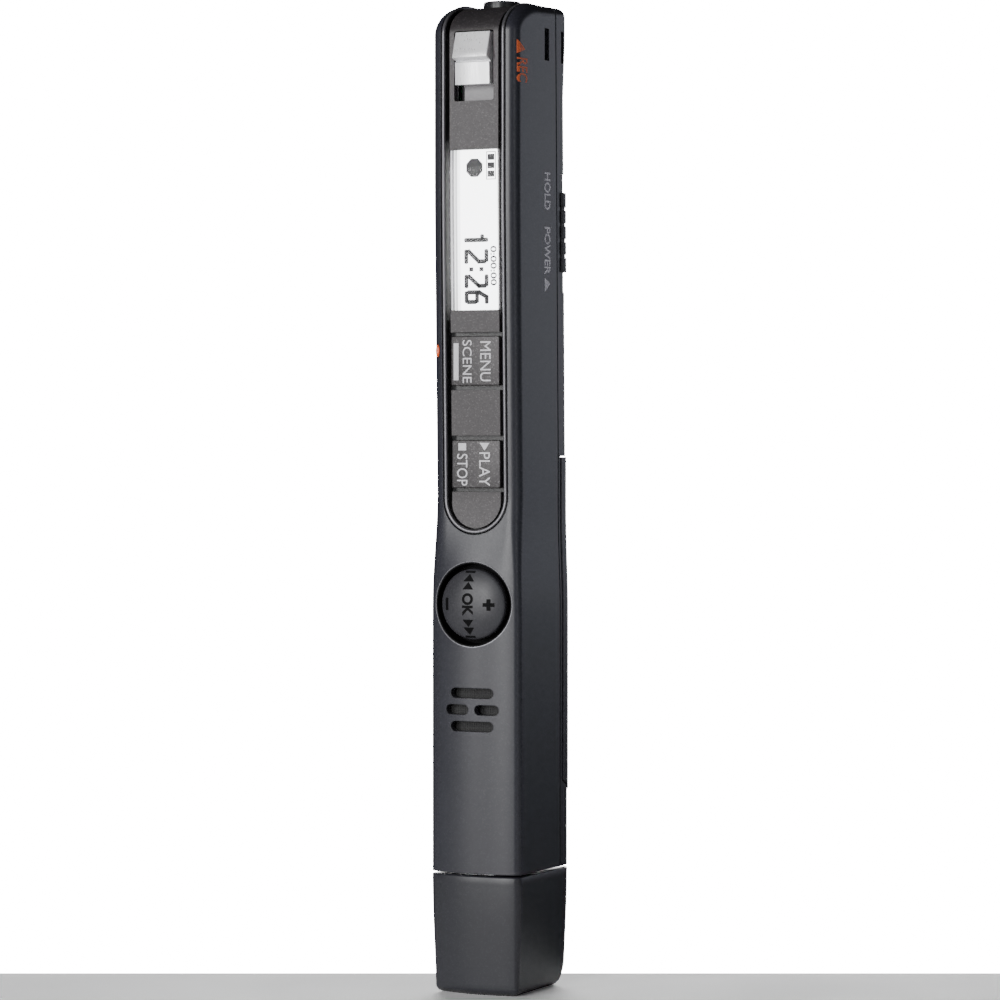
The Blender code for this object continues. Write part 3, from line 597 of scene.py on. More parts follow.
def envelope(name, inset=(0.0, 0.0, 0.0), bottom=BODY_BOTTOM, levels=FINE_LEVELS,
             curve_steps=CURVE_STEPS, arc_steps=ARC_STEPS):
    """The pen's outer form, drawn in by inset: (front, back, sides)."""
    rings = []
    for front, back in stations(inset, bottom, levels, curve_steps):
        ahead = [(x, front[0] + sag * front[2], front[1] + sag * front[3])
                 for x, sag in front_profile(front[1], inset[2], arc_steps)]
        behind = [(x, back[0] + sag * back[2], back[1] + sag * back[3])
                  for x, sag in rear_profile(front[1], inset[2], arc_steps)]
        right = ahead + behind[::-1]
        rings.append(right + [(-x, d, z) for x, d, z in right[::-1] if x > 0.0])
    count, half = len(rings[0]), len(rings[0]) // 2 + 1
    verts = [point for ring in rings for point in ring]
    faces = [tuple(range(count))]
    for level in range(len(rings) - 1):
        for side in range(count):
            a, b = level * count + side, level * count + (side + 1) % count
            faces.append((a, b, b + count, a + count))
    last = len(verts) - count
    for side in range(half // 2 - 1):
        a, b = side, half - 1 - side
        faces.append((last + a, last + a + 1, last + b - 1, last + b))
        c, e = (count - side) % count, (half - 1 + side) % count
        faces.append((last + c, last + count - side - 1, last + e + 1, last + e))
    return make(name, verts, faces)


def wedge(name, front_offset, back_offset, bottom=0.0, top=140.0):
    """A wide slab between two depths given from the seam line; None leaves that side open."""
    rings = []
    for z in (bottom, 70.0, top):
        near = -5.0 if front_offset is None else seam_depth(z) + front_offset
        far = 25.0 if back_offset is None else seam_depth(z) + back_offset
        rings.append([(-12.0, near, z), (12.0, near, z), (12.0, far, z), (-12.0, far, z)])
    return loft(name, rings, smooth=False)


def front_path(low, high_depth):
    """Stations up the front line and over the top end."""
    base = TOP - TOP_CURVE_HEIGHT
    path = [(front_depth(z), z, 1.0, 0.0)
            for z in [low] + [z for z in FINE_LEVELS if z > low + 0.3] + [base]]
    path += [top_curve(k, CURVE_STEPS) for k in range(1, CURVE_STEPS + 1)]
    return path + [(high_depth, TOP, 0.0, -1.0)]


def front_strip(name, half, depth0, depth1, low, high_depth, edge=0.0):
    """A band that follows the front line upwards and over the top end, with softened edges."""
    rings = []
    section = [(depth0, -half + edge), (depth0, half - edge), (depth0 + edge, half),
               (depth1, half), (depth1, -half), (depth0 + edge, -half)]
    if not edge:
        section = [(depth0, -half), (depth0, half), (depth1, half), (depth1, -half)]
    for depth, z, step_d, step_z in front_path(low, high_depth):
        rings.append([(x, depth + offset * step_d, z + offset * step_z) for offset, x in section])
    return loft(name, rings)


# ---------------------------------------------------------------- pieces: body

def body_pieces():
    body = envelope("housing_skin")
    combine(body, wedge("cut", 0.0, None))
    combine(body, envelope("cut", (FRONT_WALL, -3.0, SIDE_WALL), BODY_BOTTOM + 1.5,
                           levels=(50.0, 57.0, 66.5, 105.0), curve_steps=6, arc_steps=3))
    combine(body, through("cut", u_outline(FRAME_OPENING, RIM_BOTTOM - 0.15), (-4.0, 20.0)))
    combine(body, turned("cut", [(DIAL_HOLE_RADIUS, -2.0), (DIAL_HOLE_RADIUS, 4.0)],
                         (0.0, DIAL_Z), "depth", 96))
    for x0, x1, rise in ((-3.15, 3.15, 2.2), (-3.9, -0.45, 0.0), (0.45, 3.9, 0.0),
                         (-3.15, 3.15, -2.2)):
        middle = SPEAKER_Z + rise
        combine(body, through("cut", slot_outline(x0, x1, middle - SLOT_HEIGHT / 2,
                                                  middle + SLOT_HEIGHT / 2), (-2.0, 3.0)))
    combine(body, block("cut", (-12.0, 12.0), (9.05, 10.35), (123.6, 127.8)))
    combine(body, through("cut", lens_outline(0.05), (-2.0, 3.2)))
    combine(body, block("cut", (-2.55, 2.55), (1.9, 20.0), (10.0, 20.0)))
    dress(smooth_again(body), "housing_navy", stands_for=("main_housing",))

    shell = envelope("rear_skin")
    combine(shell, wedge("cut", None, SEAM_GAP))
    combine(shell, envelope("cut", (1.2, 0.9, SIDE_WALL), BODY_BOTTOM + 1.5, levels=(50.0, 66.5),
                            curve_steps=6, arc_steps=4))
    for low in (22.3, 72.2):
        combine(shell, block("join", (-5.2, 5.2), (5.4, SHELL_DEPTH - 0.4), (low, low + 1.0)),
                "UNION")
    combine(shell, cover_form("cut", -0.16, 0.14, -3.0))
    combine(shell, block("cut", (5.0, 12.0), (14.0, 14.7), (123.6, 127.8)))
    combine(shell, hold_corner("cut", 3.45, 13.7, HOLD_SLOT, -3.0))
    combine(shell, block("cut", (-2.55, 2.55), (1.9, 14.5), (10.0, 20.0)))
    dress(smooth_again(shell), "rear_navy", stands_for=("rear_shell",))

    cover = cover_form("cover_skin", 0.0, 0.0, -COVER_PROUD)
    combine(cover, envelope("cut", (0.0, 0.7, 0.7), 18.0, levels=(50.0, 57.0, 66.5), curve_steps=6,
                            arc_steps=6))
    dress(smooth_again(cover), "cover_navy", "cell_cover", ("battery_cover",))


LENS_X, LENS_Z, LENS_HALF = -5.62, 85.0, 0.34


def lens_outline(grow):
    """The oval outline of the indicator, on the left front edge."""
    low, high = extent("led_lens", "z")
    middle, reach = (low + high) / 2, (high - low) / 2 + grow
    turns = [math.pi * k / 12 for k in range(24)]
    return [(LENS_X + (LENS_HALF + grow) * math.cos(turn), middle + reach * math.sin(turn))
            for turn in turns]


def cover_form(name, split_offset, end_offset, outset):
    form = envelope(name, (0.0, outset, outset), 20.0)
    near, far = COVER_SPLIT + split_offset, SHELL_DEPTH + 4.0
    skin = SHELL_DEPTH + COVER_PROUD
    low, high = COVER[0] - end_offset, COVER[1] + end_offset
    side = [(-12.0, near, low + COVER_RAMP * (skin - near)),
            (-12.0, far, low - COVER_RAMP * (far - skin)), (-12.0, far, high), (-12.0, near, high)]
    return combine(form, loft("keep", [side, [(-x, d, z) for x, d, z in side]], smooth=False),
                   "INTERSECT")


def hold_corner(name, x0, depth0, z, outset):
    form = envelope(name, (0.0, outset, outset), 80.0)
    return combine(form, block("keep", (x0, 12.0), (depth0, 25.0), z), "INTERSECT")


def hold_pieces():
    knob = hold_corner("hold_grip", 3.75, 14.0, HOLD_KNOB, -0.32)
    combine(knob, envelope("cut", (0.0, 0.08, 0.08), 80.0))
    middle = sum(HOLD_KNOB) / 2
    for number in range(4):
        z = middle + (number - 1.5) * 2.1
        ring = block("ring", (3.0, 12.0), (13.0, 25.0), (z - 0.24, z + 0.24))
        combine(ring, envelope("core", (0.0, -0.16, -0.16), 80.0))
        combine(knob, ring)
    dress(smooth_again(knob), "hold_black", "hold_slider", ("hold_knob",))
    track = hold_corner("hold_track", 3.47, 13.72, (HOLD_SLOT[0] + 0.02, HOLD_SLOT[1] - 0.02), 0.12)
    combine(track, envelope("cut", (0.0, 1.2, 1.2), 80.0))
    dress(smooth_again(track), "bezel_black")


def cap_piece():
    rings = []
    low = [(0.95 * (1 - math.cos(math.pi / 2 * k / 8)), (1 - math.sin(math.pi / 2 * k / 8)))
           for k in range(9)]
    high = [(CAP_TOP - 0.2, -0.02), (CAP_TOP - 0.12, 0.0), (CAP_TOP - 0.05, 0.05), (CAP_TOP, 0.14)]
    for z, edge in low + [(1.0 + 0.55 * k, 0.0) for k in range(1, 26)] + high:
        taper = 0.5 * smoothstep((15.0 - z) / 17.0) + 1.1 * edge
        behind = 2.2 * max(0.0, 1.0 - z / 3.2) ** 2 - 0.9 * edge * (z < 1.0)
        ahead = [(x, taper + sag, z) for x, sag in front_profile(20.0, taper, ARC_STEPS)]
        back = [(x, SHELL_DEPTH - taper - behind - sag, z)
                for x, sag in rear_profile(20.0, taper, ARC_STEPS)]
        right = ahead + back[::-1]
        rings.append(right + [(-x, d, z) for x, d, z in right[::-1] if x > 0.0])
    cap = loft("cap_skin", rings)
    half, deep = PLUG_HALF[0] + 0.3, PLUG_HALF[1] + 0.3
    combine(cap, block("cut", (-half, half), (PLUG_DEPTH - deep, PLUG_DEPTH + deep), (2.6, 30.0)))
    dress(smooth_again(cap), "cap_black", "cap", ("usb_cap",))


# ---------------------------------------------------------------- pieces: front face

def front_pieces():
    top_depth = seam_depth(TOP) - 0.2
    rim = front_strip("rim_frame", RIM_OUTER, 0.18, 2.3, 60.0, top_depth)
    combine(rim, through("keep", u_outline(RIM_OUTER, RIM_BOTTOM), (-4.0, 20.0)), "INTERSECT")
    pocket = front_strip("pocket", 6.0, -3.0, 1.5, 60.5, 20.0)
    combine(pocket, through("keep", u_outline(RIM_INNER, RIM_BOTTOM + 0.5), (-4.0, 30.0)),
            "INTERSECT")
    combine(rim, pocket)
    combine(rim, block("cut", (-4.05, 4.05), (1.4, 6.0), (88.9, 113.1)))
    for low, high in (MENU, PLAY):
        combine(rim, block("cut", (-2.2, 2.2), (-2.0, 6.0), (low + 1.2, high - 1.2)))
    combine(rim, block("cut", (-3.4, 3.4), (-2.0, 5.0), (116.6, 125.6)))
    combine(rim, turned("cut", [(2.85, 110.0), (2.85, 140.0)], (0.0, JACK_DEPTH), "z"))
    # The frame is near black so that where it shows in the gaps round the keys and plates it is painted
    # shade.
    dress(smooth_again(rim), "bezel_black", stands_for=("front_frame",))

    bead = [(RIM_INNER + 0.02, 0.45), (RIM_INNER + 0.02, 0.12)]
    middle, reach = (RIM_INNER + RIM_OUTER) / 2, (RIM_OUTER - RIM_INNER) / 2 - 0.02
    bead += [(middle - reach * math.cos(math.pi * k / 12), 0.12 - 0.22 * math.sin(math.pi * k / 12) ** 0.7)
             for k in range(1, 12)]
    bead += [(RIM_OUTER - 0.02, 0.12), (RIM_OUTER - 0.02, 0.45)]
    centre = RIM_BOTTOM + RIM_OUTER
    path = [place for place in front_path(centre, top_depth) if place[1] >= centre - 0.01]
    rings = [[(r, depth + n * step_d, z + n * step_z) for r, n in bead]
             for depth, z, step_d, step_z in path[::-1]]
    for k in range(1, 36):
        angle = -math.pi * k / 36
        rings.append([(r * math.cos(angle), front_depth(centre + r * math.sin(angle)) + n,
                       centre + r * math.sin(angle)) for r, n in bead])
    rings += [[(-r, depth + n * step_d, z + n * step_z) for r, n in bead]
              for depth, z, step_d, step_z in path]
    dress(loft("rim_bead", rings, sharp=60), "rim_grey")

    for node in ("end_plate", "blank_plate", "window_plate"):
        low, high = extent(node, "z")
        plate = front_strip(node + "_skin", STRIP_HALF, PLATE_RECESS,
                            PLATE_RECESS + PLATE_THICKNESS, 60.0, top_depth, 0.06)
        combine(plate, through("keep", u_outline(STRIP_HALF, RIM_BOTTOM + 0.7), (-4.0, 20.0)),
                "INTERSECT")
        if node != "end_plate":
            combine(plate, block("cut", (-6.0, 6.0), (-3.0, 9.0), (50.0, low)))
        if node != "window_plate":
            combine(plate, block("cut", (-6.0, 6.0), (-3.0, 20.0), (high, 140.0)))
        else:
            combine(plate, through("cut", rounded_outline((-DISPLAY_HALF, DISPLAY_HALF), DISPLAY, 0.25),
                                   (-2.0, 6.0)))
            combine(plate, window_layer("cut", 3.9, -1.0, 0.66, 0.0))
            combine(plate, through("cut", rounded_outline((-SLIDER_HALF, SLIDER_HALF), SLIDER_WINDOW,
                                                          0.3), (-2.0, 4.0)))
            combine(plate, turned("cut", [(2.75, 110.0), (2.75, 140.0)], (0.0, JACK_DEPTH), "z"))
        dress(smooth_again(plate), "plate_grey", stands_for=(node,))


def on_front(level):
    """Lettering on a face that looks along -Y: it reads downwards, with its top towards +X."""
    return lambda along, across, out: (across, level - out, along)


def on_side(level):
    """Lettering on the +X side, round its front corner: it reads downwards, top to the back."""
    def place(along, across, out):
        line = [(front_depth(along) + sag, x) for x, sag in front_profile(along, 0.0, ARC_STEPS)]
        x = level
        for (d0, x0), (d1, x1) in zip(line, line[1:]):
            if d0 <= across < d1:
                x = lerp(x0, x1, (across - d0) / (d1 - d0))
        return x + out, across, along
    return place


def lettering(name, words, face, along, across, look, body="recorder", weight=0.0, cuts=0):
    """Printed words that fill the given stretch along and across a face."""
    curve = bpy.data.curves.new(name, "FONT")
    curve.body, curve.extrude, curve.offset, curve.resolution_u = words, 0.02, weight, 5
    holder = bpy.data.objects.new(name, curve)
    bpy.context.scene.collection.objects.link(holder)
    bpy.context.view_layer.update()
    mesh = bpy.data.meshes.new_from_object(
        holder.evaluated_get(bpy.context.evaluated_depsgraph_get()))
    bpy.data.objects.remove(holder, do_unlink=True)
    work = bmesh.new()
    work.from_mesh(mesh)
    bmesh.ops.remove_doubles(work, verts=work.verts, dist=0.0001)
    if cuts:
        bmesh.ops.triangulate(work, faces=work.faces)
        bmesh.ops.subdivide_edges(work, edges=work.edges, cuts=cuts, use_grid_fill=True)
    work.to_mesh(mesh)
    work.free()
    xs, ys = [v.co.x for v in mesh.vertices], [v.co.y for v in mesh.vertices]
    verts = []
    for v in mesh.vertices:
        s = (v.co.x - min(xs)) / (max(xs) - min(xs))
        t = (v.co.y - min(ys)) / (max(ys) - min(ys))
        verts.append(face(lerp(*along, s), lerp(*across, t), 0.018 if v.co.z > 0 else -0.01))
    faces = [tuple(polygon.vertices) for polygon in mesh.polygons]
    return dress(make(name, verts, faces, smooth=False), look, body)


def flat_mark(name, outline, face, look, body="recorder", out=0.018):
    """A printed shape: outline is (along, across) points."""
    rings = [[face(along, across, level) for along, across in outline] for level in (-0.01, out)]
    return dress(loft(name, rings, smooth=False), look, body)


def key_pieces():
    for name, (low, high) in (("menu", MENU), ("play", PLAY)):
        middle = (low + high) / 2
        surface = front_depth(middle) + PLATE_RECESS
        cap = soft_block(f"{name}_key_cap", (-KEY_HALF, KEY_HALF), (surface - 0.05, surface + 0.75),
                         (low, high), 0.3, 0.14)
        combine(cap, block("join", (-1.4, 1.4), (surface + 0.5, 3.1), (middle - 1.4, middle + 1.4)),
                "UNION")
        dress(smooth_again(cap), "key_grey", f"{name}_key", (f"{name}_button",))
        face = on_front(surface - 0.05)
        ride = f"{name}_key"
        if name == "menu":
            lettering("menu_word", "MENU", face, (86.2, 80.95), (0.76, 2.31), "pale_print", ride)
            lettering("scene_word", "SCENE", face, (86.4, 80.75), (-1.83, -0.5), "pale_print",
                      ride)
            flat_mark("menu_bar", [(86.0, -3.17), (86.0, -2.45), (81.1, -2.45), (81.1, -3.17)], face,
                      "pale_print", ride)
        else:
            lettering("play_word", "PLAY", face, (71.6, 67.15), (0.5, 2.07), "pale_print", ride)
            lettering("stop_word", "STOP", face, (71.4, 67.2), (-2.8, -1.26), "pale_print", ride)
            flat_mark("play_sign", [(72.85, 0.55), (72.85, 2.0), (71.85, 1.28)], face, "pale_print",
                      ride)
            flat_mark("stop_sign", [(72.8, -2.6), (72.8, -1.45), (71.85, -1.45), (71.85, -2.6)], face,
                      "pale_print", ride)


STROKES = {"1": (((0.1, 0.80), (0.62, 0.80)), ((0.62, 1.0), (0.62, 0.0))),
           "2": (((0.0, 1.0), (0.85, 1.0)), ((1.0, 0.9), (1.0, 0.62)), ((1.0, 0.62), (0.0, 0.14)),
                 ((0.0, 0.0), (1.0, 0.0))),
           "6": (((1.0, 1.0), (0.5, 1.0)), ((0.5, 1.0), (0.0, 0.62)), ((0.0, 0.62), (0.0, 0.12)),
                 ((0.1, 0.0), (0.9, 0.0)), ((1.0, 0.1), (1.0, 0.42)), ((0.9, 0.52), (0.1, 0.52)))}


def digit(name, number, face, along, across):
    """A figure of straight chamfered strokes, as one mesh."""
    half = 0.29
    start, end = along[0] - half, along[1] + half
    low, high = across[0] + half, across[1] - half
    parts = []
    for (s0, t0), (s1, t1) in STROKES[number]:
        a0, b0 = lerp(start, end, s0), lerp(low, high, t0)
        a1, b1 = lerp(start, end, s1), lerp(low, high, t1)
        size = math.hypot(a1 - a0, b1 - b0)
        u, v = (a1 - a0) / size, (b1 - b0) / size
        outline = [(a0 + u * step - v * side * half, b0 + v * step + u * side * half)
                   for step, side in ((-half, 0.45), (-half * 0.55, 1), (size + half * 0.55, 1),
                                      (size + half, 0.45), (size + half, -0.45),
                                      (size + half * 0.55, -1), (-half * 0.55, -1), (-half, -0.45))]
        rings = [[face(a, b, level) for a, b in outline] for level in (-0.01, 0.02)]
        parts.append(loft("stroke", rings, smooth=False))
    return dress(joined(name, parts), "segment_grey")


def window_layer(name, half, near, far, inset):
    """A layer of the display that follows the front line, drawn in at its ends by inset."""
    layer = front_strip(name, half, near, far, 80.0, 12.0)
    keep = through("keep", rounded_outline((-half, half), (DISPLAY[0] + inset, DISPLAY[1] - inset), 0.2),
                   (-4.0, 3.0))
    return combine(layer, keep, "INTERSECT")


def display_pieces():
    face = lambda along, across, out: (across + 0.03, front_depth(along) + 0.42 - out, along)
    panel = window_layer("screen_panel", STRIP_HALF - 0.02, 0.42, 0.62, 0.04)
    combine(panel, block("cut", (3.3, 9.0), (-2.0, 5.0), (80.0, 120.0)))
    dress(panel, "lcd_grey", stands_for=("lcd_module",))
    places = {"1": (100.35, 98.9), "2": (98.3, 96.4), "2b": (95.0, 93.2), "6": (92.95, 91.1)}
    for key, along in places.items():
        digit(f"figure_{key}", key[0], face, along, (-1.57, 1.99))
    for number, middle in enumerate((-0.55, 0.95)):
        flat_mark(f"colon_{number}", [(95.95, middle - 0.3), (95.95, middle + 0.3),
                                      (95.4, middle + 0.3), (95.4, middle - 0.3)], face, "segment_grey")
    ring = [(109.0 + 1.3 * math.cos(math.radians(22.5 + 45 * k)),
             1.3 * math.sin(math.radians(22.5 + 45 * k))) for k in range(8)]
    flat_mark("disc_mark", ring, face, "segment_grey")
    for number in range(3):
        start = 110.75 - number * 1.1
        flat_mark(f"charge_{number}", [(start, 1.95), (start, 2.95), (start - 0.8, 2.95),
                                       (start - 0.8, 1.95)], face, "segment_grey")
    lines = [([(110.98, 1.75), (110.98, 1.85), (107.4, 1.85), (107.4, 1.75)]),
             ([(110.98, 3.05), (110.98, 3.15), (107.4, 3.15), (107.4, 3.05)]),
             ([(111.08, 1.75), (111.08, 3.15), (110.98, 3.15), (110.98, 1.75)]),
             ([(107.5, 1.75), (107.5, 3.15), (107.4, 3.15), (107.4, 1.75)])]
    for number, outline in enumerate(lines):
        flat_mark(f"charge_frame_{number}", outline, face, "segment_grey")
    lettering("small_row", "0:00:00", face, (98.7, 93.5), (2.3, 3.2), "segment_grey", weight=0.02)

    pane = window_layer("window_pane", STRIP_HALF - 0.04, 0.24, 0.36, 0.02)
    dress(pane, "display_glass", stands_for=("lcd_window",))


def slider_pieces():
    outline = [(1.6, 119.9), (0.27, 119.9)]
    outline += [(0.27 - 0.02 * k, 119.9 + 0.75 * k) for k in range(1, 5)]
    outline += [(0.2, 122.8), (0.5, 122.86), (0.5, 123.02), (-0.2, 123.24), (-0.52, 123.34), (-0.6, 123.45),
                (-0.58, 123.62)]
    outline += [(lerp(-0.58, 0.42, k / 6), lerp(123.62, 126.8, k / 6)) for k in range(1, 7)]
    outline += [(1.6, 126.8)]
    rings = []
    for x, draw in ((-2.55, 0.12), (-2.5, 0.04), (-2.4, 0.0), (2.4, 0.0), (2.5, 0.04), (2.55, 0.12)):
        ring = []
        for depth, z in outline:
            inner = lerp(depth, 1.0, draw * 0.3) if depth < 1.0 else depth
            ring.append((x, inner + (draw if depth < 1.0 else 0.0) * 0.5, z))
        rings.append(ring)
    knob = loft("slider_grip", rings, sharp=40)
    combine(knob, block("join", (-2.5, -2.05), (1.0, 2.9), (120.6, 124.2)), "UNION")
    dress(smooth_again(knob, 24), "slider_silver", "record_knob", ("record_slider",))
    (x0, x1), (z0, z1) = extent("slider_floor", "x"), extent("slider_floor", "z")
    floor = soft_block("slider_bed", (x0, x1), (1.95, 2.35), (z0, z1), 0.2, 0.05)
    combine(floor, block("cut", (-3.05, -1.95), (1.0, 4.0), (117.2, 124.6)))
    dress(smooth_again(floor), "floor_grey", stands_for=("slider_floor",))


def dial_height(radius):
    return lerp(DIAL_CROWN, 0.6, (radius / DIAL_RADIUS) ** 2.4)


def on_dial(along, across, out):
    """A place on the dome, given from the dial's middle."""
    return across, dial_height(math.hypot(along, across)) - out, DIAL_Z + along


def dial_pieces():
    profile = [(4.3, 1.75), (DIAL_RADIUS, 1.6), (DIAL_RADIUS, 0.85), (DIAL_RADIUS - 0.03, 0.65)]
    profile += [(DIAL_RADIUS * part, dial_height(DIAL_RADIUS * part))
                for part in (0.97, 0.93, 0.88, 0.8, 0.7, 0.6, 0.5, 0.38, 0.25)]
    disc = turned("dial_disc", profile + [(0.6, DIAL_CROWN)], (0.0, DIAL_Z), "depth", 96, sharp=50)
    dress(disc, "dial_black", "nav_disc", ("nav_key",))

    def bar(name, a0, a1, b0, b1):
        steps = 4
        rows = [[on_dial(lerp(a0, a1, k / steps), b, out) for b, out in
                 ((b0, -0.05), (b1, -0.05), (b1, 0.06), (b0, 0.06))] for k in range(steps + 1)]
        return loft(name, rows, smooth=False)

    marks = [bar("m", -0.25, 0.25, 1.95, 3.45), bar("m", -0.75, 0.75, 2.45, 2.95),
             bar("m", -0.8, 0.8, -3.85, -3.4), bar("m", 4.15, 4.4, -1.0, 0.45),
             bar("m", -4.4, -4.15, -1.0, 0.45)]
    for base, point in ((2.0, 2.95), (3.05, 4.0), (-2.0, -2.95), (-3.05, -4.0)):
        triangle = [(point, -0.27), (base, 0.5), (base, -1.04)]
        marks.append(loft("m", [[on_dial(a, b, out) for a, b in triangle] for out in (-0.05, 0.09)],
                          smooth=False))
    dress(joined("dial_marks", marks), "dial_print_and_gap_shade", "nav_disc")
    lettering("ok_word", "OK", on_dial, (1.5, -1.5), (-1.08, 0.55), "dial_print_and_gap_shade", "nav_disc", 0.04, 2)

    # Painted shade: a near-black lining down in the dial's hole, so the gap round the disc reads dark.
    well = []
    for k in range(72):
        angle = math.radians(5 * k)
        brim = front_depth(DIAL_Z + 5.4 * math.sin(angle)) + crown(5.4 * math.cos(angle), DIAL_Z) + 0.07
        well.append([(r * math.cos(angle), depth, DIAL_Z + r * math.sin(angle)) for r, depth in
                     ((2.0, 2.45), (5.25, 2.45), (5.4, brim), (5.53, brim), (5.53, 2.6), (2.0, 2.6))])
    dress(ring_solid("dial_gap_shade", well), "dial_print_and_gap_shade")
    sections = []
    for k in range(96):
        angle = 2 * math.pi * k / 96
        section = []
        for radius, fall in ((DIAL_HOLE_RADIUS + 0.0, 0.35), (DIAL_HOLE_RADIUS + 0.0, 0.08),
                             (DIAL_HOLE_RADIUS + 0.07, -0.01), (DIAL_HOLE_RADIUS + 0.15, -0.025),
                             (DIAL_HOLE_RADIUS + 0.2, 0.06), (DIAL_HOLE_RADIUS + 0.12, 0.35)):
            x, z = radius * math.cos(angle), DIAL_Z + radius * math.sin(angle)
            section.append((x, front_depth(z) + crown(x, z) + fall, z))
        sections.append(section)
    dress(ring_solid("dial_surround", sections), "bright_edge")


def speaker_pieces():
    """A woven screen of fine wires, in front of its black backing; the wires' near-black colour is partly
    their own and partly painted shade inside the slots.
    """
    low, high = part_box("speaker_mesh")
    x0, x1, z0, z1 = low.x / MM, high.x / MM, low.z / MM, high.z / MM
    depth = low.y / MM - FRONT_Y
    wires, wire, pitch = [], 0.05, 0.34
    count = int((z1 - z0) / pitch)
    for k in range(count):
        z = z0 + pitch * (k + 0.5)
        wires.append(block("w", (x0, x1), (depth - 0.13, depth - 0.05), (z - wire, z + wire)))
    count = int((x1 - x0) / pitch)
    for k in range(count):
        x = x0 + pitch * (k + 0.5)
        wires.append(block("w", (x - wire, x + wire), (depth - 0.06, depth), (z0, z1)))
    dress(joined("speaker_screen", wires), "wire_black_and_slot_shade")


def small_pieces():
    outline = lens_outline(0.0)
    lens = loft("led_window", [[(LENS_X + (x - LENS_X) * size, depth, LENS_Z + (z - LENS_Z) * size)
                                for x, z in outline] for size, depth in
                               ((0.5, 1.12), (0.8, 1.16), (1.0, 1.3), (1.0, 2.6))], sharp=60)
    dress(lens, "led_orange", stands_for=("led_lens",))

    sections = []
    profile = [(2.5, 129.3), (2.5, TOP + 0.3), (2.46, TOP + 0.42), (2.35, TOP + 0.5),
               (2.05, TOP + 0.5), (1.9, TOP + 0.44), (1.8, TOP + 0.3), (1.8, 129.3)]
    for k in range(64):
        angle = 2 * math.pi * k / 64
        sections.append([(radius * math.cos(angle), JACK_DEPTH + radius * math.sin(angle), z)
                         for radius, z in profile])
    dress(ring_solid("jack_ring", sections), "bezel_black",
          stands_for=("jack_bezel",))


def side_labels():
    face = on_side(UPPER_HALF)
    lettering("rec_word", "REC", face, (123.3, 120.1), (1.25, 3.95), "orange_print", weight=0.02, cuts=3)
    rows = []
    for k in range(13):
        part = k / 12.5
        high, low, across = lerp(125.6, 124.45, part), lerp(123.8, 124.45, part), lerp(1.25, 3.3, part)
        rows.append([face(along, across, out) for along, out in
                     ((high, 0.02), (low, 0.02), (low, -0.01), (high, -0.01))])
    dress(loft("rec_arrow", rows, smooth=False), "orange_print")
    lettering("hold_word", "HOLD", face, (108.75, 103.8), (9.0, 10.75), "side_print", weight=0.02)
    lettering("power_word", "POWER", face, (101.5, 95.2), (9.0, 10.75), "side_print", weight=0.02)
    flat_mark("power_wedge", [(94.7, 9.1), (94.0, 10.7), (92.9, 9.1)], face, "side_print")


# ---------------------------------------------------------------- the CAD nodes inside

INNER = {"lcd_holder": "holder_white", "menu_switch": "switch_steel", "play_switch": "switch_steel",
         "record_switch": "switch_black", "nav_rocker": "rocker_steel", "nav_plunger": "switch_black",
         "nav_switch": "switch_black", "speaker_mesh": "mesh_black", "speaker_gasket": "gasket_black",
         "speaker_unit": "speaker_grey", "mic_left": "microphone_metal",
         "mic_right": "microphone_metal", "earphone_jack": "switch_black",
         "led_chip": "led_chip_white", "main_board": "board_green", "board_screw_1": "screw_steel",
         "board_screw_2": "screw_steel", "processor_chip": "chip_black", "memory_chip": "chip_black",
         "shield_can": "can_tin", "clock_crystal": "can_tin", "capacitor": "capacitor_blue",
         "battery_cell": "cell_jacket", "battery_spring": "contact_nickel",
         "battery_contact": "contact_nickel", "usb_shell": "plug_steel", "usb_tongue": "tongue_black",
         "usb_contact_1": "contact_gold", "usb_contact_2": "contact_gold",
         "usb_contact_3": "contact_gold", "usb_contact_4": "contact_gold",
         "hold_switch": "switch_steel", "switch_flex": "flex_amber"}


def inner_nodes():
    for node, look in INNER.items():
        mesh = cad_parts[node].data
        mesh.materials.clear()
        mesh.materials.append(LOOKS[look])


# ---------------------------------------------------------------- camera, light and floor

def area_light(name, azimuth, height, distance, size, power, colour=(1.0, 1.0, 1.0), aim=0.07):
    data = bpy.data.lights.new(name, "AREA")
    data.shape, data.size, data.size_y, data.energy = "RECTANGLE", size[0], size[1], power
    data.color = colour
    thing = bpy.data.objects.new(name, data)
    turn = math.radians(azimuth)
    thing.location = (distance * math.sin(turn), -distance * math.cos(turn), height)
    thing.rotation_euler = (Vector((0.0, 0.0, aim)) - thing.location).to_track_quat("-Z", "Y").to_euler()
    bpy.context.scene.collection.objects.link(thing)


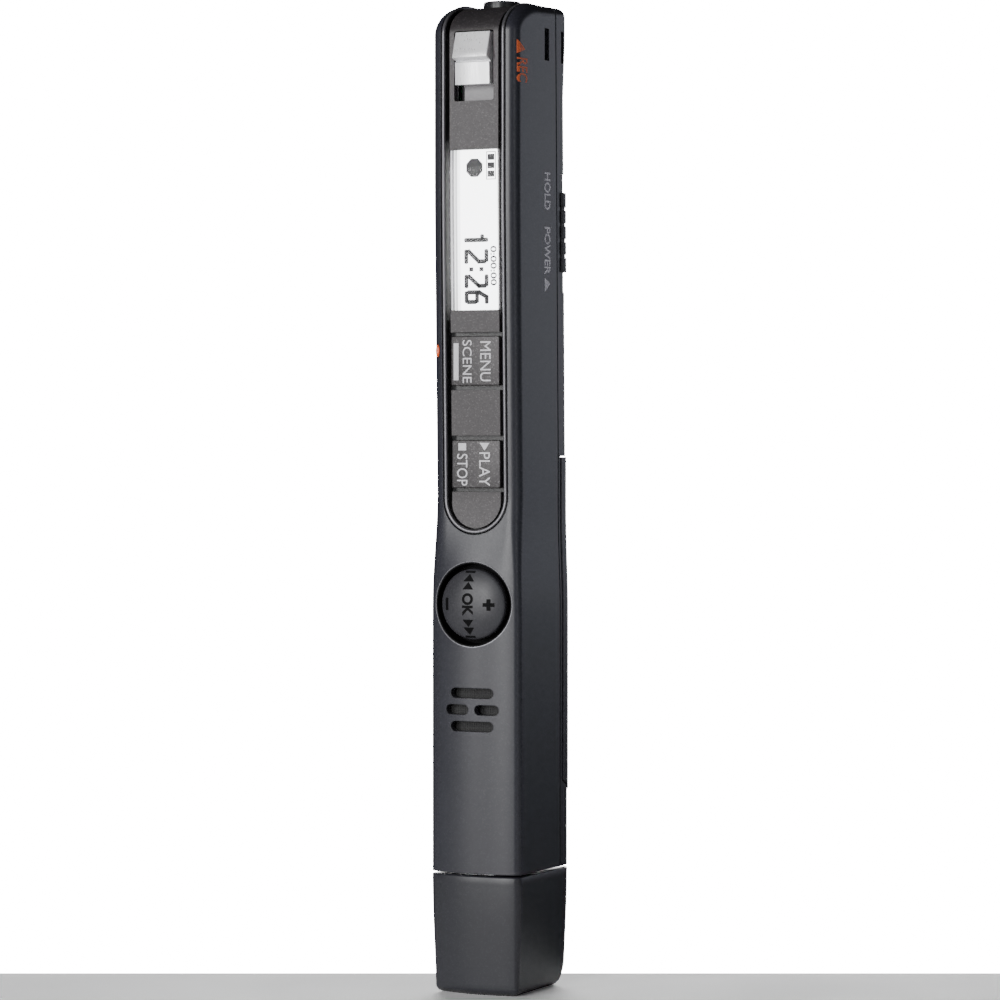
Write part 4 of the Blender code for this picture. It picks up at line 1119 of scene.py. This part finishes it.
def studio():
    data = bpy.data.cameras.new("camera")
    data.lens, data.sensor_width, data.clip_start = 130.0, 36.0, 0.01
    camera = bpy.data.objects.new("camera", data)
    camera.location = (0.2188, -0.4293, 0.0745)
    aim = Vector((0.0, 0.00015, 0.0652))
    camera.rotation_euler = (aim - camera.location).to_track_quat("-Z", "Y").to_euler()
    bpy.context.scene.collection.objects.link(camera)
    bpy.context.scene.camera = camera

    area_light("key", -1.0, 0.23, 0.72, (0.15, 0.44), 3.6)
    area_light("left", -25.0, 0.23, 0.72, (0.13, 0.44), 2.3)
    area_light("strip", 63.0, 0.20, 0.70, (0.05, 0.40), 0.3)
    area_light("rear", 150.0, 0.17, 0.8, (0.4, 0.34), 0.48, (0.86, 0.88, 1.0))

    world = bpy.data.worlds.new("studio")
    bpy.context.scene.world = world
    world.use_nodes = True
    ground = world.node_tree.nodes["Background"]
    ground.inputs["Color"].default_value = (0.9, 0.92, 1.0, 1.0)
    ground.inputs["Strength"].default_value = 0.025
    studio_sheets()


def sheet(name, points, glow):
    """A pale sheet of the studio, turned to face the camera."""
    look = Look(name)
    grain = look.noise(40.0, 3.0)
    colour = look.mix(look.spread(grain, 0.3, 0.7), (0.90, 0.90, 0.90), (0.93, 0.93, 0.93))
    look.link(colour, look.shader.inputs["Base Color"])
    look.link(look.spread(grain, 0.3, 0.7, (0.7, 0.8)), look.shader.inputs["Roughness"])
    if glow:
        look.link(colour, look.shader.inputs["Emission Color"])
        look.shader.inputs["Emission Strength"].default_value = glow
    mesh = bpy.data.meshes.new(name)
    mesh.from_pydata(points, [], [(0, 1, 2, 3)])
    mesh.materials.append(look.material)
    made = bpy.data.objects.new(name, mesh)
    made.rotation_euler.z = math.radians(27.0)
    bpy.context.scene.collection.objects.link(made)
    return made


def studio_sheets():
    """A pale floor that ends behind the recorder, and a glowing backdrop no wider than the view."""
    front, edge, back = -0.6, 0.0125, 0.6
    return (sheet("floor", [(-0.6, front, 0.0), (0.6, front, 0.0), (0.6, edge, 0.0), (-0.6, edge, 0.0)],
                  0.0),
            sheet("backdrop", [(-0.18, back, -0.25), (0.28, back, -0.25), (0.28, back, 0.25),
                               (-0.18, back, 0.25)], 20.0))


studio()
looks()
body_pieces()
hold_pieces()
cap_piece()
front_pieces()
key_pieces()
display_pieces()
slider_pieces()
dial_pieces()
speaker_pieces()
small_pieces()
side_labels()
inner_nodes()
